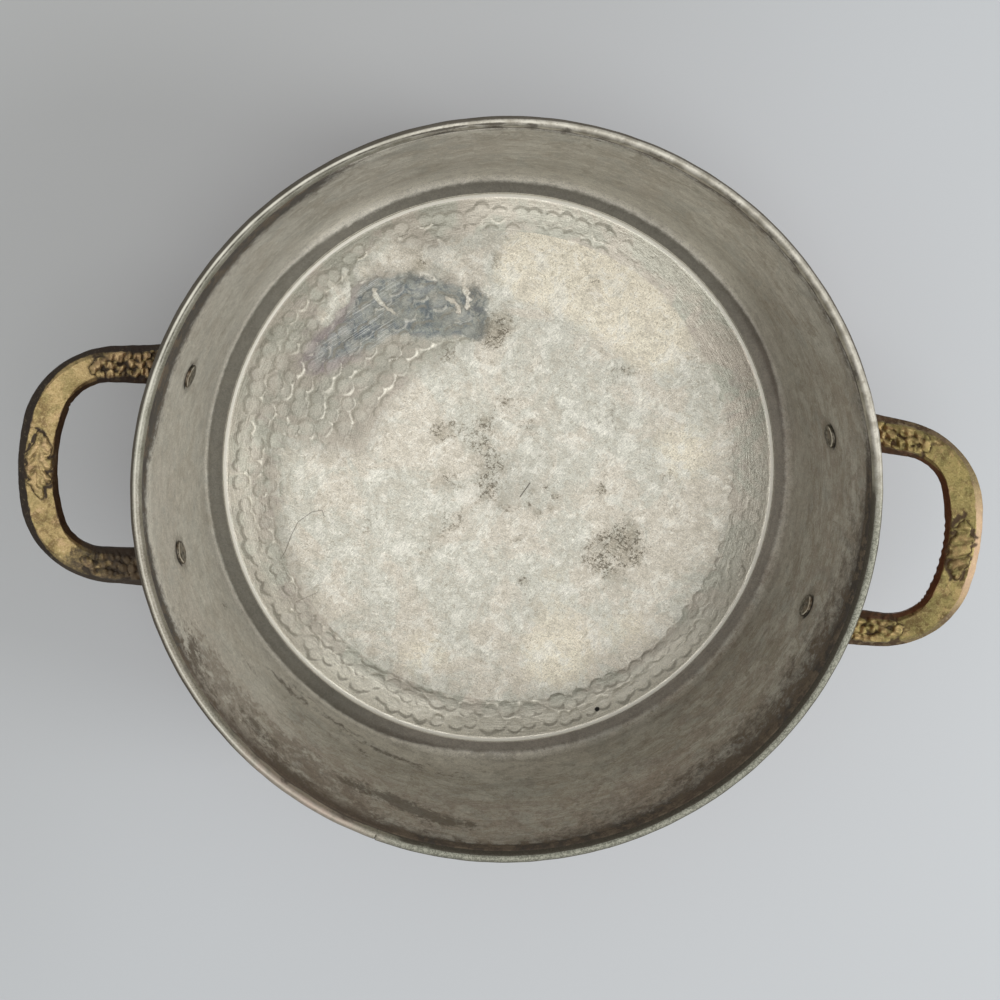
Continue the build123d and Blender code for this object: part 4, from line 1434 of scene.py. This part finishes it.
rivetFinish = paintRivet()
rivetPlaces = {
    "rivet_right_front": -potSizes["rivetAzimuth"],
    "rivet_right_back": potSizes["rivetAzimuth"],
    "rivet_left_front": 180 + potSizes["rivetAzimuth"],
    "rivet_left_back": 180 - potSizes["rivetAzimuth"],
}
for seed, (node, azimuth) in enumerate(rivetPlaces.items()):
    points, faces = cappedShell(rivetShell(azimuth, seed + 70))
    name = "".join(word.capitalize() for word in node.split("_"))
    makePiece(name[0].lower() + name[1:], points, faces, {}, [node], rivetFinish)


def paintWire():
    paint = Paint("ironWire")
    fleck = paint.noise(2, 3, 0.6)
    base = paint.clouds(fleck, 0.4, 0.65, (96, 92, 88), (104, 74, 56))
    return paint.finish(base, 0.5 + fleck * 0.2, 0.8, paint.bump(fleck, 0.05))


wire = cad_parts["rim_wire"]
wire.data.materials.clear()
wire.data.materials.append(paintWire())
print("wire painted")


lightLook = {
    "world": 0.64,
    "worldTone": (252, 251, 250),
    "table": (193, 197, 200),
    "tableFar": (176, 178, 178),
    "tableHalf": 30000.0,
    "tableLevel": -0.3,  # just under the pot
    "key": {"azimuth": -8, "elevation": 30, "distance": 1.7, "size": 0.6, "power": 9},
    "top": {"azimuth": -60, "elevation": 82, "distance": 1.9, "size": 1.5, "power": 10.5},
}


def addLamp(name, look):
    data = bpy.data.lights.new(name, "AREA")
    data.shape = "DISK"
    data.size = look["size"]
    data.energy = look["power"]
    lamp = bpy.data.objects.new(name, data)
    azimuth, elevation = math.radians(look["azimuth"]), math.radians(look["elevation"])
    place = Vector((math.cos(azimuth) * math.cos(elevation), math.sin(azimuth) * math.cos(elevation),
                    math.sin(elevation))) * look["distance"]
    lamp.matrix_world = Matrix.Translation(place) @ (-place).to_track_quat("-Z", "Y").to_matrix().to_4x4()
    bpy.context.scene.collection.objects.link(lamp)


def makeTable():
    # A flat square far larger than the view, with painted shade that makes it a little darker towards -X and
    # +Y.
    corners = np.array([(-1, -1, 0), (1, -1, 0), (1, 1, 0), (-1, 1, 0)]) * lightLook["tableHalf"]
    points = corners + np.array([0, 0, lightLook["tableLevel"]])
    mesh = bpy.data.meshes.new("table")
    mesh.from_pydata((points * mm).tolist(), [], [(0, 1, 2, 3)])
    paint = Paint("paleTable")
    tone = paint.noise(160, 2, 0.5)
    across = paint.y * 0.7 - paint.x + (tone - 0.5) * 40
    base = paint.clouds(across, -60, 320, lightLook["table"], lightLook["tableFar"])
    mesh.materials.append(paint.finish(base, 0.65, 0.0))
    table = bpy.data.objects.new("table", mesh)
    bpy.context.scene.collection.objects.link(table)


def makeWorld():
    world = bpy.data.worlds.new("studio")
    world.use_nodes = True
    background = world.node_tree.nodes["Background"]
    background.inputs["Color"].default_value = colour(*lightLook["worldTone"])
    background.inputs["Strength"].default_value = lightLook["world"]
    bpy.context.scene.world = world


makeTable()
makeWorld()
addLamp("keyLamp", lightLook["key"])
addLamp("topLamp", lightLook["top"])
print("table and light set")

bpy.context.view_layer.update()
